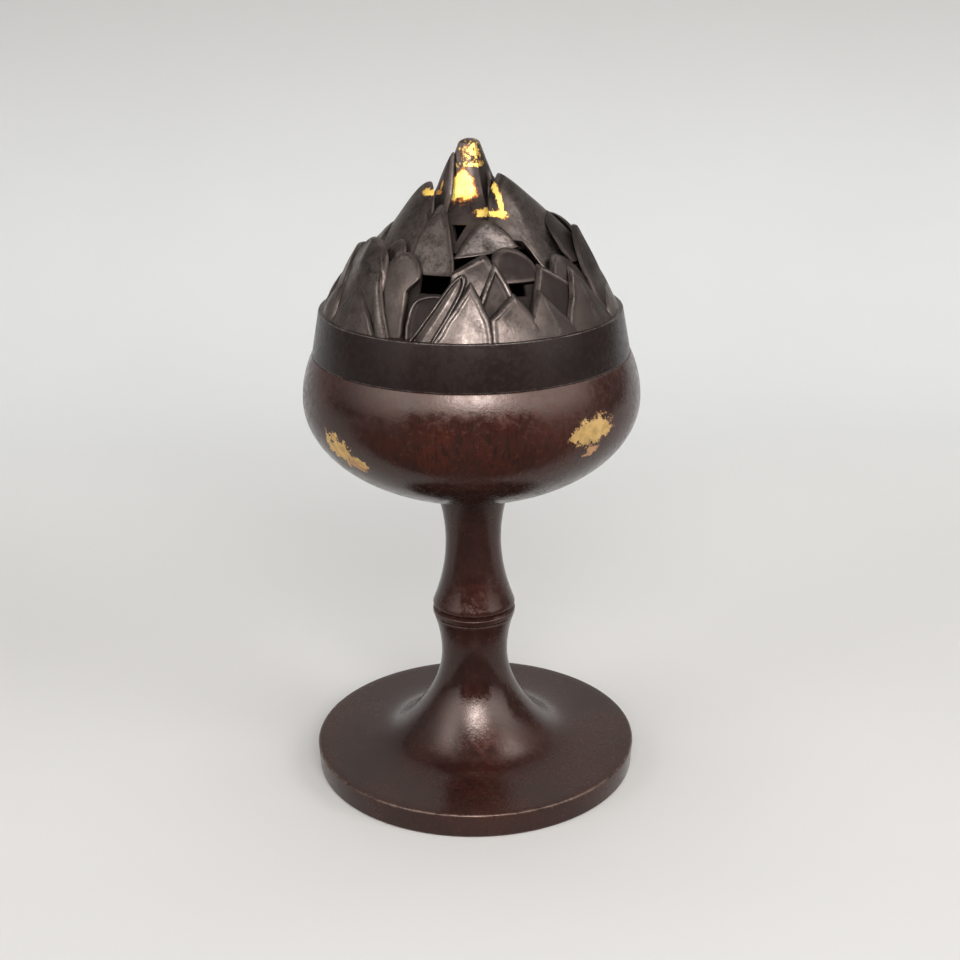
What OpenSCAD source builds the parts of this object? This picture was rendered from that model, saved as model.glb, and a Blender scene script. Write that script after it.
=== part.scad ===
// Bronze hill censer: a stemmed bowl on a trumpet foot, with a lift-off lid of overlapping hills.
// The Z axis is the turning axis of the vessel, Z = 0 is the surface it stands on, the front faces -Y.

/* [Foot] */
// Diameter of the foot disc at its top edge
foot_d = 98; // [88:1:110]
// Height of the disc's rim
foot_rim_h = 7.6; // [6:0.1:10]
// How far the rim draws in towards the underside, on the radius
foot_draft = 0.5; // [0:0.1:1.5]
// Wall of the hollow foot casting
foot_wall = 3; // [2:0.1:4]
// Width of the ring that the foot stands on
foot_land = 4.5; // [3:0.1:8]
// Diameter where the flare would run out onto the disc
flare_d = 53; // [44:1:60]
// Softness of the hollow between flare and disc
flare_blend = 4; // [1:0.5:8]
// Diameter of the lower stem at its waist
neck_d = 20; // [17:0.5:24]
// Height of the waist of the lower stem
neck_z = 36.5; // [32:0.5:42]
// Height of the foot casting, up to the seat of the ring
foot_h = 48.9; // [45:0.1:60]
// Diameter of the foot casting at the seat of the ring
foot_top_d = 24.4; // [21:0.1:28]

/* [Stem] */
// Height of the ring between the stem's two lengths
ring_h = 2.7; // [2:0.1:5]
// Diameter of the ring
ring_d = 24.9; // [21:0.1:30]
// Bevel on the edges of the ring and at the ends of the upper stem
stem_bevel = 0.8; // [0.2:0.1:1]
// Length of the upper stem
upper_h = 37.8; // [30:0.1:60]
// Diameter of the upper stem at its lower end
upper_lip_d = 25; // [21:0.1:30]
// Diameter of the upper stem at its waist
upper_waist_d = 16.6; // [14:0.1:20]
// Height of that waist above the ring
upper_waist_h = 21.4; // [16:0.1:26]
// Diameter of the upper stem under the bowl
upper_top_d = 22.2; // [19:0.1:28]

/* [Bowl] */
// Largest diameter of the bowl
bowl_d = 97.2; // [92:0.2:104]
// Height of the bowl from the stem to the lid's seat
bowl_h = 41.9; // [38:0.1:52]
// Height of the widest girth above the stem
belly_h = 28.6; // [24:0.1:32]
// How far the shoulder draws in up to the lid's seat, on the radius
shoulder_in = 3.1; // [2:0.1:5]
// Wall of the bowl
bowl_wall = 2.4; // [1.8:0.1:3]
// Width of the seat that the lid rests on
seat_w = 3.1; // [2.5:0.1:4]
// Height of the lip that keeps the lid centred
lip_h = 4; // [3:0.1:6]
// Thickness of that lip
lip_t = 2.4; // [1.8:0.1:3]
// Diameter of the threaded boss in the bottom of the bowl
boss_d = 18; // [14:0.5:24]
// Height of that boss above the stem
boss_h = 7.6; // [6.5:0.1:10]

/* [Tie rod] */
// Diameter of the rod that draws foot, ring, stem and bowl together
rod_d = 8; // [5:0.5:8]
// Depth of the rod in the bowl's boss
rod_bite = 6; // [4:0.1:6]
// Height of the seat of the washer inside the foot
rod_seat_z = 24; // [20:0.5:28]
// Diameter of the washer
washer_d = 17; // [13:0.5:18]
// Thickness of the washer
washer_t = 1.6; // [1:0.1:2.5]
// Width of the nut across its flats
nut_af = 13; // [10:0.5:14]
// Height of the nut
nut_h = 6.5; // [4:0.1:7]
// Length of rod standing out of the nut
rod_end = 1.5; // [0.5:0.1:2]

/* [Ash liner] */
// Wall of the liner
liner_wall = 1; // [0.8:0.1:1.5]
// Thickness of the flange that hangs on the bowl's lip
liner_flange_t = 1.2; // [0.8:0.1:2]
// Depth of the liner's straight wall under the flange
liner_wall_h = 22; // [16:0.5:26]

/* [Lid] */
// Height of the plain band of the lid
band_h = 12.7; // [10:0.1:18]
// How far the band draws in from the seat to its top, on the radius
band_draft = 2.5; // [1:0.1:4]
// Wall of the band
band_wall = 2.2; // [1.8:0.1:3]
// Width of the rounded edges of the band
band_edge = 0.4; // [0.2:0.1:0.8]
// Thickness of the ledge that carries the hills
ledge_t = 2; // [1.5:0.1:3]
// How far the ledge reaches in past the dome skin
ledge_reach = 0.7; // [0.4:0.1:2]
// How far the outer hills stand back from the band's edge
hill_set_back = 0.8; // [0.4:0.1:2]
// Depth of a hill leaf from its back to the crown of its front
hill_depth = 1.9; // [1.4:0.1:2.2]
// Thickness of a hill leaf along its edges
hill_edge = 0.6; // [0.4:0.1:1.2]
// Inward slope of the hills that stand on the ledge
lower_slope = 0.47; // [0.35:0.01:0.5]
// Height of the tallest leaf of the upper tier above the ledge
upper_leaf_h = 38; // [37:0.5:40]
// Distance between that leaf's top and the summit peak
summit_gap = 1.8; // [1.6:0.1:2.6]
// Height above the ledge at which the upper tier lies against the tall hills
tier_h = 14.5; // [13.5:0.1:14.8]
// Height of the dome skin behind the hills, above the ledge
dome_h = 14.2; // [13:0.1:14.3]
// Thickness of the dome skin
dome_t = 1.5; // [1:0.1:2]
// Height of the summit above the ledge
summit_h = 46.8; // [44:0.1:56]
// Radius of the blunt summit
summit_r = 3.1; // [2:0.1:3.5]
// Height of its rounded top
summit_round = 1.8; // [1:0.1:3]
// Depth of solid metal in the summit's tip
summit_cap = 6; // [4:0.5:8]
// Widening of the summit peak for each unit of height
summit_taper = 0.38; // [0.3:0.01:0.4]
// Height above the ledge at which the summit peak begins to spread
summit_spread_h = 33; // [30:0.5:36]
// Fullness of that spread, low for a straight skirt and high for a hollow one
summit_spread = 1.4; // [1.2:0.1:2]
// Height of the summit peak's lower edge above the ledge
summit_foot_h = 19.6; // [18.5:0.1:22]
// Wall of the summit peak
summit_wall = 1.5; // [1:0.1:2]
// Width of the small smoke window under the summit
summit_window_w = 4; // [2:0.1:6]
// Height of that window
summit_window_h = 3.6; // [2:0.1:5]

/* [Fits] */
// Clearance of the rod in the stem, on the radius
rod_clear = 0.3; // [0.1:0.05:0.6]
// Clearance of the threads, on the radius
thread_clear = 0.05; // [0.02:0.01:0.1]
// Clearance beyond the rod's upper end in the boss
rod_tip_clear = 0.4; // [0.2:0.1:1]
// Clearance of the lid around the bowl's lip, on the radius
lid_clear = 0.3; // [0.2:0.05:0.6]
// Clearance of the liner in the bowl
liner_clear = 0.8; // [0.5:0.1:1.5]
// Room between the liner's flange and the lid's ledge slope
liner_head = 1; // [0.5:0.1:2]
// Gap where one hill leaf laps another
lap = 0.25; // [0.15:0.05:0.4]

/* [Hidden] */
$fn = 96;
brown_bronze = [0.30, 0.17, 0.13];
dark_bronze = [0.24, 0.21, 0.19];
bare_copper = [0.62, 0.38, 0.25];
zinc_steel = [0.62, 0.63, 0.64];
eps = 0.01;
// How far a cut runs on past the face that it opens
cut = 1;

// Heights of the stack
ring_z = foot_h;
upper_z = ring_z + ring_h;
bowl_z = upper_z + upper_h;
belly_z = bowl_z + belly_h;
seat_z = bowl_z + bowl_h;
ledge_z = seat_z + band_h;

// Radii of the bowl's mouth and the lid
bowl_r = bowl_d / 2;
seat_r = bowl_r - shoulder_in;
lip_r = seat_r - seat_w;
mouth_r = lip_r - lip_t;
band_bore_r = lip_r + lid_clear;
ledge_r = seat_r - band_draft;
lip_z = seat_z + lip_h;

// Rows of hills, each given as [radius of the leaves' backs at the ledge, inward slope]
rim_back_r = ledge_r - hill_set_back - hill_depth;
tall_back_r = rim_back_r - lap - hill_depth;
inner_back_r = tall_back_r - lap - hill_depth;
tier_r = inner_back_r - lower_slope * tier_h;
upper_slope = (tier_r - lap - hill_depth - summit_line(upper_leaf_h) - summit_gap) / (upper_leaf_h - tier_h);
petal_back_r = tier_r + upper_slope * tier_h;
upper_back_r = petal_back_r - lap - hill_depth;
rim_row = [rim_back_r, lower_slope];
tall_row = [tall_back_r, lower_slope];
inner_row = [inner_back_r, lower_slope];
petal_row = [petal_back_r, upper_slope];
upper_row = [upper_back_r, upper_slope];
peak_row = [0, 0];
dome_r = tall_back_r - lap;
ledge_in_r = dome_r - dome_t - ledge_reach;

// Grid of a hill leaf: strips across and rings up
leaf_across = 6;
leaf_up = 6;

// A hill is [azimuth from the front, half width in degrees at its foot, height of its foot above the ledge,
// height of its peak, lean of the peak in degrees, tip width as a share, fullness of the outline,
// share of the depth taken by a mid ridge, rise of the foot towards its right end]
rim_hills = [
    [-2.9, 11.0, 0, 14.2, 3.0, 0.08, 1.10, 0.1, 0],
    [18.0, 9.0, 0, 10.0, 0.8, 0.10, 1.40, 0.0, 0],
    [34.8, 7.4, 0, 11.4, -3.8, 0.08, 1.00, 0.4, 0],
    [55.8, 13.2, 0, 15.2, -2.0, 0.07, 1.00, 0.5, 0],
    [80.2, 10.8, 0, 9.0, 3.0, 0.20, 1.80, 0.0, 0],
    [103.2, 11.8, 0, 13.5, -3.0, 0.08, 1.10, 0.4, 0],
    [126.5, 11.2, 0, 10.5, 2.0, 0.10, 1.40, 0.1, 0],
    [150.0, 11.9, 0, 14.5, -2.0, 0.08, 1.00, 0.5, 0],
    [173.0, 10.8, 0, 11.0, 3.0, 0.10, 1.40, 0.1, 0],
    [196.0, 11.8, 0, 14.0, -2.0, 0.08, 1.10, 0.4, 0],
    [219.0, 10.9, 0, 10.2, 2.0, 0.10, 1.50, 0.0, 0],
    [242.0, 11.7, 0, 13.6, -3.0, 0.08, 1.00, 0.5, 0],
    [263.5, 9.4, 0, 10.0, 2.0, 0.10, 1.50, 0.1, 0],
    [-77.6, 9.2, 0, 9.5, 2.0, 0.10, 1.40, 0.3, 0],
    [-53.2, 14.7, 0, 11.8, -3.2, 0.06, 1.00, 0.3, 0],
    [-34.9, 3.2, 0, 15.5, -12.0, 0.40, 1.00, 0.9, 0],
    [-18.4, 4.0, 0, 16.0, 14.8, 0.70, 1.00, 0.9, 0]
];
tall_hills = [
    [-15.8, 7.4, 0, 10.6, 0.0, 0.80, 5.00, 0.0, 0],
    [10.8, 12.8, 0, 19.4, 1.6, 0.15, 1.30, 0.3, 0],
    [37.8, 13.6, 0, 19.2, 1.5, 0.18, 3.20, 0.3, 0],
    [62.4, 9.9, 0, 20.6, -2.0, 0.25, 3.20, 0.2, 0],
    [90.0, 16.9, 0, 23.2, -5.0, 0.40, 3.20, 0.1, 0],
    [124.5, 16.8, 0, 23.4, 0.0, 0.50, 3.20, 0.1, 0],
    [158.6, 16.3, 0, 22.5, -2.0, 0.20, 3.00, 0.2, 0],
    [192.2, 16.0, 0, 19.0, 2.0, 0.15, 2.60, 0.5, 0],
    [226.6, 16.7, 0, 22.0, -2.0, 0.20, 3.00, 0.1, 0],
    [261.6, 17.1, 0, 17.6, 1.0, 0.30, 2.80, 0.3, 0],
    [-62.9, 16.6, 0, 22.4, 1.0, 0.50, 3.00, 0.2, 0],
    [-34.4, 10.4, 0, 20.0, -2.0, 0.60, 4.20, 0.0, 0]
];
inner_hills = [
    [26.0, 8.4, 12.5, 21.4, 1.0, 0.40, 2.60, 0.0, 0],
    [-47.0, 9.0, 12.5, 22.6, 1.0, 0.40, 2.60, 0.0, 0],
    [-2.8, 6.3, 12.5, 17.8, 1.0, 0.60, 3.00, 0.0, 0]
];
petals = [
    [-21.3, 11.6, 14.6, 28.6, -9.0, 0.25, 2.20, 0.0, 0],
    [11.0, 19.8, 19.6, 27.4, 2.5, 0.30, 1.80, 0.0, 1.1],
    [84.0, 18.0, 15.0, 26.8, 2.0, 0.30, 2.40, 0.0, 0],
    [135.0, 17.0, 15.5, 28.5, 3.0, 0.15, 1.80, 0.0, 0],
    [183.0, 17.0, 15.0, 27.0, 2.0, 0.15, 1.80, 0.0, 0],
    [230.0, 17.0, 15.5, 28.0, -2.0, 0.15, 1.80, 0.0, 0],
    [271.0, 15.0, 15.0, 24.6, 2.0, 0.25, 2.00, 0.0, 0]
];
upper_leaves = [
    [58.0, 39.5, 17.6, 38.0, 1.0, 0.34, 4.00, 0.0, -4.2],
    [120.0, 21.6, 14.6, 33.0, -2.0, 0.22, 2.80, 0.0, 0],
    [168.0, 25.6, 14.6, 36.0, 3.0, 0.25, 3.00, 0.0, 0],
    [214.2, 19.8, 14.6, 31.0, 0.0, 0.20, 2.80, 0.0, 0],
    [253.6, 18.4, 14.6, 33.5, 1.0, 0.22, 2.80, 0.0, 0],
    [-54.0, 29.4, 14.6, 35.8, -10.0, 0.36, 3.20, 0.0, 0]
];
side_peaks = [
    [-74.0, 42.0, 31.0, 43.4, 12.0, 0.25, 2.00, 0.0, 0],
    [70.0, 42.0, 30.0, 38.5, -8.0, 0.20, 1.80, 0.0, 0],
    [172.0, 50.0, 30.0, 40.5, 6.0, 0.20, 1.80, 0.0, 0]
];
// Notches in the dome skin's top edge for smoke and for the inner hills, each [azimuth, width, sill height]
dome_notches = [[-17, 8.4, 10.4], [22, 5, 9.4], [26, 11, 12.2], [-47, 11.6, 12.2], [-3.2, 8.4, 12.2],
                [118, 9, 9.6], [205, 9, 9.6], [-95, 8, 9.8]];
// Smoke window in the spread of the summit peak, [azimuth, sill height]
summit_window = [-11, 22.2];

function numbered(name, count) = [for (i = [1:count]) str(name, "_", i)];

// Radius of a parabolic waist: waist_r at waist_z, end_r at end_z
function waist(z, waist_r, waist_z, end_r, end_z) =
    waist_r + (end_r - waist_r) * pow((z - waist_z) / (end_z - waist_z), 2);

// Radius of an ellipse about the axis: r wide, b high, at height dz from its middle
function ellipse_r(r, b, dz) = r * sqrt(max(0, 1 - dz * dz / (b * b)));

// Vertical half axis of the ellipse that is r wide and narrows to end_r over height h
function half_axis(r, end_r, h) = h / sqrt(1 - end_r * end_r / (r * r));

// Height of the foot's upper surface: a parabolic flare eased into the flat disc
function flare_drop(r) = neck_z - foot_rim_h
    - (neck_z - foot_rim_h) * sqrt(max(0, r - neck_d / 2) / (flare_d / 2 - neck_d / 2));
function eased(d) = (d + sqrt(d * d + flare_blend * flare_blend)) / 2;
function flare_z(r) = foot_rim_h + eased(flare_drop(r)) - eased(flare_drop(foot_d / 2));

module turned(outline) {
    rotate_extrude() polygon(outline);
}

module bore(d, z0, z1) {
    translate([0, 0, z0]) cylinder(d = d, h = z1 - z0);
}

module foot() {
    steps = 22;
    rim_r = foot_d / 2;
    neck_r = neck_d / 2;
    neck_steps = 8;
    shift = foot_wall / sqrt(2);
    rise = [for (i = [0:steps - 1])
        let (t = 1 - i / steps, r = neck_r + (rim_r - neck_r) * t * t)
        [r, flare_z(r)]];
    neck = [for (i = [0:neck_steps])
        let (z = neck_z + (foot_h - neck_z) * i / neck_steps)
        [waist(z, neck_r, neck_z, foot_top_d / 2, foot_h), z]];
    hollow_r = rim_r - foot_draft - foot_land;
    hollow = [for (i = [0:steps])
        let (r = hollow_r * (1 - i / steps))
        [r, min(rod_seat_z, flare_z(r + shift) - shift)]];
    color(brown_bronze) difference() {
        turned(concat([[0, 0], [rim_r - foot_draft, 0]], rise, neck, [[0, foot_h]]));
        turned(concat([[0, -cut], [hollow_r, -cut]], hollow));
        bore(rod_d + 2 * rod_clear, rod_seat_z - cut, foot_h + cut);
    }
}

module stem_ring() {
    r = ring_d / 2;
    color(brown_bronze) difference() {
        turned([[0, ring_z], [r - stem_bevel / 2, ring_z], [r, ring_z + stem_bevel],
                [r, upper_z - stem_bevel], [r - stem_bevel, upper_z], [0, upper_z]]);
        bore(rod_d + 2 * rod_clear, ring_z - cut, upper_z + cut);
    }
}

module upper_stem() {
    steps = 12;
    waist_z = upper_z + upper_waist_h;
    lip_z0 = upper_z + stem_bevel;
    lower = [for (i = [0:steps])
        let (z = lip_z0 + (waist_z - lip_z0) * i / steps)
        [waist(z, upper_waist_d / 2, waist_z, upper_lip_d / 2, lip_z0), z]];
    upper = [for (i = [1:steps])
        let (z = waist_z + (bowl_z - waist_z) * i / steps)
        [waist(z, upper_waist_d / 2, waist_z, upper_top_d / 2, bowl_z), z]];
    color(brown_bronze) difference() {
        turned(concat([[0, upper_z], [upper_lip_d / 2 - stem_bevel, upper_z]], lower, upper, [[0, bowl_z]]));
        bore(rod_d + 2 * rod_clear, upper_z - cut, bowl_z + cut);
    }
}

module bowl() {
    steps = 20;
    top_steps = 8;
    low_b = half_axis(bowl_r, upper_top_d / 2, belly_h);
    top_b = half_axis(bowl_r, seat_r, bowl_h - belly_h);
    in_r = bowl_r - bowl_wall;
    in_b = low_b - bowl_wall;
    collar_z = seat_z - bowl_wall - seat_w;
    outer_low = [for (i = [0:steps])
        let (z = belly_z - belly_h * cos(90 * i / steps))
        [ellipse_r(bowl_r, low_b, z - belly_z), z]];
    outer_top = [for (i = [1:top_steps])
        let (z = belly_z + (bowl_h - belly_h) * i / top_steps)
        [ellipse_r(bowl_r, top_b, z - belly_z), z]];
    inner_top = [for (i = [0:top_steps])
        let (z = collar_z + (belly_z - collar_z) * i / top_steps)
        [ellipse_r(bowl_r, top_b, z - belly_z) - bowl_wall, z]];
    inner_low = [for (i = [1:steps])
        let (a = 90 * i / steps)
        [in_r * cos(a), belly_z - in_b * sin(a)]];
    color(brown_bronze) difference() {
        union() {
            difference() {
                turned(concat([[0, bowl_z]], outer_low, outer_top,
                              [[lip_r, seat_z], [lip_r, lip_z], [0, lip_z]]));
                turned(concat([[0, lip_z + cut], [mouth_r, lip_z + cut], [mouth_r, seat_z - bowl_wall]],
                              inner_top, inner_low));
            }
            bore(boss_d, bowl_z + eps, bowl_z + boss_h);
        }
        bore(rod_d + 2 * thread_clear, bowl_z - cut, bowl_z + rod_bite + rod_tip_clear);
    }
}

module tie_rod() {
    low_z = rod_seat_z - washer_t - nut_h - rod_end;
    color(zinc_steel) bore(rod_d, low_z, bowl_z + rod_bite);
}

module foot_washer() {
    color(zinc_steel) difference() {
        bore(washer_d, rod_seat_z - washer_t, rod_seat_z);
        bore(rod_d + 2 * rod_clear, rod_seat_z - washer_t - cut, rod_seat_z + cut);
    }
}

module foot_nut() {
    top_z = rod_seat_z - washer_t;
    color(zinc_steel) difference() {
        translate([0, 0, top_z - nut_h]) cylinder(d = nut_af / cos(30), h = nut_h, $fn = 6);
        bore(rod_d + 2 * thread_clear, top_z - nut_h - cut, top_z + cut);
    }
}

module ash_liner() {
    steps = 14;
    out_r = mouth_r - liner_clear;
    flange_z = lip_z + liner_flange_t;
    round_z = lip_z - liner_wall_h;
    low_z = bowl_z + boss_h + liner_clear;
    depth = round_z - low_z;
    outer = [for (i = [0:steps])
        [out_r * sin(90 * i / steps), round_z - depth * cos(90 * i / steps)]];
    inner = [for (i = [0:steps])
        let (a = 90 * (1 - i / steps))
        [(out_r - liner_wall) * sin(a), round_z - (depth - liner_wall) * cos(a)]];
    color(bare_copper) turned(concat(outer,
        [[out_r, lip_z], [lip_r - lid_clear, lip_z]],
        [[lip_r - lid_clear, flange_z], [out_r - liner_wall, flange_z]],
        inner));
}

module lid_rim() {
    shelf_z = ledge_z - ledge_t;
    slope_z = lip_z + liner_flange_t + liner_head;
    color(dark_bronze) turned([
        [band_bore_r, seat_z], [seat_r - band_edge, seat_z], [seat_r, seat_z + band_edge],
        [ledge_r + band_edge / 2, ledge_z - band_edge], [ledge_r, ledge_z], [ledge_in_r, ledge_z],
        [ledge_in_r, shelf_z], [ledge_r - band_wall, shelf_z], [band_bore_r, slope_z]]);
}

module lid_dome() {
    top_r = dome_r - lower_slope * dome_h;
    color(dark_bronze) difference() {
        turned([[dome_r - dome_t, ledge_z], [dome_r, ledge_z], [top_r, ledge_z + dome_h],
                [top_r - dome_t, ledge_z + dome_h]]);
        for (w = dome_notches)
            rotate(w[0]) translate([-w[1] / 2, -dome_r, ledge_z + w[2]]) cube([w[1], dome_r / 2, dome_h]);
    }
}

// Radius of the summit peak at height h above the ledge: a cone that spreads below summit_spread_h
function summit_line(h) = summit_r + summit_taper * (summit_h - summit_round - h);
function upper_back(h) = upper_back_r - upper_slope * h;
function summit_out(h) = summit_line(h) + (upper_back(summit_foot_h) - lap - summit_line(summit_foot_h))
    * pow(max(0, summit_spread_h - h) / (summit_spread_h - summit_foot_h), summit_spread);

// Radius of the backs of a row's leaves at height h above the ledge
function back_r(row, h) = max(row[0] - row[1] * h, summit_out(max(h, summit_foot_h)) + lap);

// Point of a hill leaf: u runs from its left edge, -1, to its right edge, 1, v from foot to peak,
// and out is the distance from the leaf's back
function leaf_point(hill, row, u, v, out) =
    let (foot = hill[2] + hill[8] * u * (1 - v),
         h = foot + (hill[3] - hill[2]) * v,
         share = hill[5] + (1 - hill[5]) * (1 - pow(v, hill[6])),
         a = hill[0] + hill[4] * v + hill[1] * share * u,
         r = back_r(row, h) + out)
    [r * sin(a), -r * cos(a), ledge_z + h];

// Distance from back to front of a leaf: full along the foot, thin at the edges and the peak
function leaf_depth(hill, u, v) =
    let (crown = (1 - pow(abs(u), 3)) * (1 - pow(v, 3)),
         ridge = (1 - abs(u)) * (1 - pow(v, 4)))
    hill_edge + (hill_depth - hill_edge) * (crown * (1 - hill[7]) + ridge * hill[7]);

module hill_leaf(hill, row) {
    n = leaf_across;
    m = leaf_up;
    back = [for (j = [0:m]) for (i = [0:n]) leaf_point(hill, row, 2 * i / n - 1, j / m, 0)];
    front = [for (j = [0:m]) for (i = [0:n])
        let (u = 2 * i / n - 1, v = j / m)
        leaf_point(hill, row, u, v, leaf_depth(hill, u, v))];
    k = len(back);
    w = n + 1;
    front_faces = [for (j = [0:m - 1]) for (i = [0:n - 1]) let (p = k + j * w + i)
        each [[p, p + w, p + w + 1], [p, p + w + 1, p + 1]]];
    back_faces = [for (j = [0:m - 1]) for (i = [0:n - 1]) let (p = j * w + i)
        each [[p, p + w + 1, p + w], [p, p + 1, p + w + 1]]];
    side_faces = [for (j = [0:m - 1]) let (p = j * w, q = j * w + n)
        each [[p, p + w, k + p + w], [p, k + p + w, k + p], [k + q, k + q + w, q + w], [k + q, q + w, q]]];
    end_faces = [for (i = [0:n - 1]) let (p = i, q = m * w + i)
        each [[p, k + p, k + p + 1], [p, k + p + 1, p + 1], [k + q, q, q + 1], [k + q, q + 1, k + q + 1]]];
    polyhedron(concat(back, front), concat(front_faces, back_faces, side_faces, end_faces));
}

module summit_peak() {
    steps = 16;
    top_h = summit_h - summit_round;
    hollow_h = top_h - summit_cap;
    spread_h = summit_spread_h - summit_foot_h;
    slope = (summit_out(summit_foot_h) - summit_out(summit_spread_h)) / spread_h;
    skirt_wall = summit_wall * sqrt(1 + slope * slope);
    outer = [for (i = [0:steps])
        let (h = summit_foot_h + (top_h - summit_foot_h) * i / steps)
        [summit_out(h), ledge_z + h]];
    crown = [for (a = [20:20:80])
        [summit_r * cos(a), ledge_z + top_h + summit_round * sin(a)]];
    inner = [for (i = [0:steps])
        let (h = hollow_h - (hollow_h - summit_foot_h) * i / steps,
             low = max(0, summit_spread_h - h) / spread_h)
        [summit_out(h) - summit_wall - (skirt_wall - summit_wall) * min(1, 2 * low), ledge_z + h]];
    color(dark_bronze) difference() {
        turned(concat(outer, crown, [[0, ledge_z + summit_h], [0, ledge_z + hollow_h]], inner));
        rotate(summit_window[0]) translate([0, 0, ledge_z + summit_window[1]]) rotate([90, 0, 0])
            linear_extrude(height = seat_r) polygon([[0, 0], [summit_window_w / 2, summit_window_h],
                                                     [-summit_window_w / 2, summit_window_h]]);
    }
}

module rim_hill(i) {
    color(dark_bronze) hill_leaf(rim_hills[i], rim_row);
}

module tall_hill(i) {
    color(dark_bronze) hill_leaf(tall_hills[i], tall_row);
}

module inner_hill(i) {
    color(dark_bronze) hill_leaf(inner_hills[i], inner_row);
}

module petal(i) {
    color(dark_bronze) hill_leaf(petals[i], petal_row);
}

module upper_leaf(i) {
    color(dark_bronze) hill_leaf(upper_leaves[i], upper_row);
}

module side_peak(i) {
    color(dark_bronze) hill_leaf(side_peaks[i], peak_row);
}

foot();
stem_ring();
upper_stem();
bowl();
tie_rod();
foot_washer();
foot_nut();
ash_liner();
lid_rim();
lid_dome();
summit_peak();
for (i = [0:len(rim_hills) - 1])
    rim_hill(i);
for (i = [0:len(tall_hills) - 1])
    tall_hill(i);
for (i = [0:len(inner_hills) - 1])
    inner_hill(i);
for (i = [0:len(petals) - 1])
    petal(i);
for (i = [0:len(upper_leaves) - 1])
    upper_leaf(i);
for (i = [0:len(side_peaks) - 1])
    side_peak(i);
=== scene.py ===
import bpy
import math
import numpy as np
from mathutils import Matrix, Vector


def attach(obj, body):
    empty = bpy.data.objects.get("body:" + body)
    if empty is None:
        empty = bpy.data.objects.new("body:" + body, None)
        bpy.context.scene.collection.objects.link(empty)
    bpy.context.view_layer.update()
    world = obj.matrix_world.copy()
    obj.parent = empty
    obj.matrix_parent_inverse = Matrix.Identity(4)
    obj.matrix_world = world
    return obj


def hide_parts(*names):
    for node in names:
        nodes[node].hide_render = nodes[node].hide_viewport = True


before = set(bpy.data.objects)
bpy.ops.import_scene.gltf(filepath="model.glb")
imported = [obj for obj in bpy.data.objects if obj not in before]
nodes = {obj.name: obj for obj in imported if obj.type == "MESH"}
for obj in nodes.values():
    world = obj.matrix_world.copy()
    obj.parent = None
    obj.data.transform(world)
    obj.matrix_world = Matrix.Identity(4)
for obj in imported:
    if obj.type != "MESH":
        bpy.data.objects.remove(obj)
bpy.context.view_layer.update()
print("frame loaded,", len(nodes), "nodes")

mm = 0.001


# Eased step: 0 at a, 1 at b, and t * t * (3 - 2 t) between them
def smoothstep(a, b, x):
    t = np.clip((x - a) / (b - a), 0, 1)
    return t ** 2 * (3 - 2 * t)


def addObject(name, data):
    made = bpy.data.objects.new(name, data)
    bpy.context.scene.collection.objects.link(made)
    return made


# Mesh from whole arrays: points in mm, quads and triangles as index rows, turned outwards by the signed volume; the
# named values become point attributes: wear for rubbed places, soot for soot on inner faces and for painted
# shade, warm for the redder zone that is painted light on the front, and outer for faces that may be gilt
def putMesh(name, points, quads, tris, material, sharpDeg=38, **values):
    triple = lambda a, b, c: np.einsum("ij,ij->i", a, np.cross(b, c)).sum()
    a, b, c, d = (points[quads[:, k]] for k in range(4))
    volume = triple(a, b, c) + triple(a, c, d) + triple(*(points[tris[:, k]] for k in range(3)))
    if volume < 0:
        quads, tris = quads[:, ::-1], tris[:, ::-1]
    mesh = bpy.data.meshes.new(name)
    mesh.vertices.add(len(points))
    mesh.vertices.foreach_set("co", (points * mm).astype(np.float32).ravel())
    mesh.loops.add(quads.size + tris.size)
    mesh.loops.foreach_set("vertex_index", np.concatenate([quads.ravel(), tris.ravel()]).astype(np.int32))
    mesh.polygons.add(len(quads) + len(tris))
    starts = np.concatenate([np.arange(len(quads)) * 4, quads.size + np.arange(len(tris)) * 3])
    mesh.polygons.foreach_set("loop_start", starts.astype(np.int32))
    mesh.update(calc_edges=True)
    mesh.validate()
    for label, value in values.items():
        mesh.attributes.new(label, "FLOAT", "POINT").data.foreach_set("value", value.astype(np.float32))
    mesh.shade_smooth()
    mesh.set_sharp_from_angle(angle=math.radians(sharpDeg))
    mesh.materials.append(material)
    return addObject(name, mesh)


# Closed skin on a grid of rings: columns run round, rows run along, and each end is drawn to a pole point
# or, with ringClosed, the last row joins the first
def ringSkin(grid, ringClosed=False, poles=None):
    m, n = grid.shape[:2]
    i = np.arange(m if ringClosed else m - 1)[:, None]
    j = np.arange(n)[None, :]
    i1, j1 = (i + 1) % m, (j + 1) % n
    quads = np.stack(np.broadcast_arrays(i * n + j, i * n + j1, i1 * n + j1, i1 * n + j), -1).reshape(-1, 4)
    points = grid.reshape(-1, 3)
    tris = np.zeros((0, 3), int)
    if poles is not None:
        k = len(points)
        points = np.vstack([points, poles[0], poles[1]])
        jj = np.arange(n)
        first = np.stack([np.full(n, k), (jj + 1) % n, jj], -1)
        last = np.stack([np.full(n, k + 1), (m - 1) * n + jj, (m - 1) * n + (jj + 1) % n], -1)
        tris = np.vstack([first, last])
    return points, quads, tris


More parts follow.
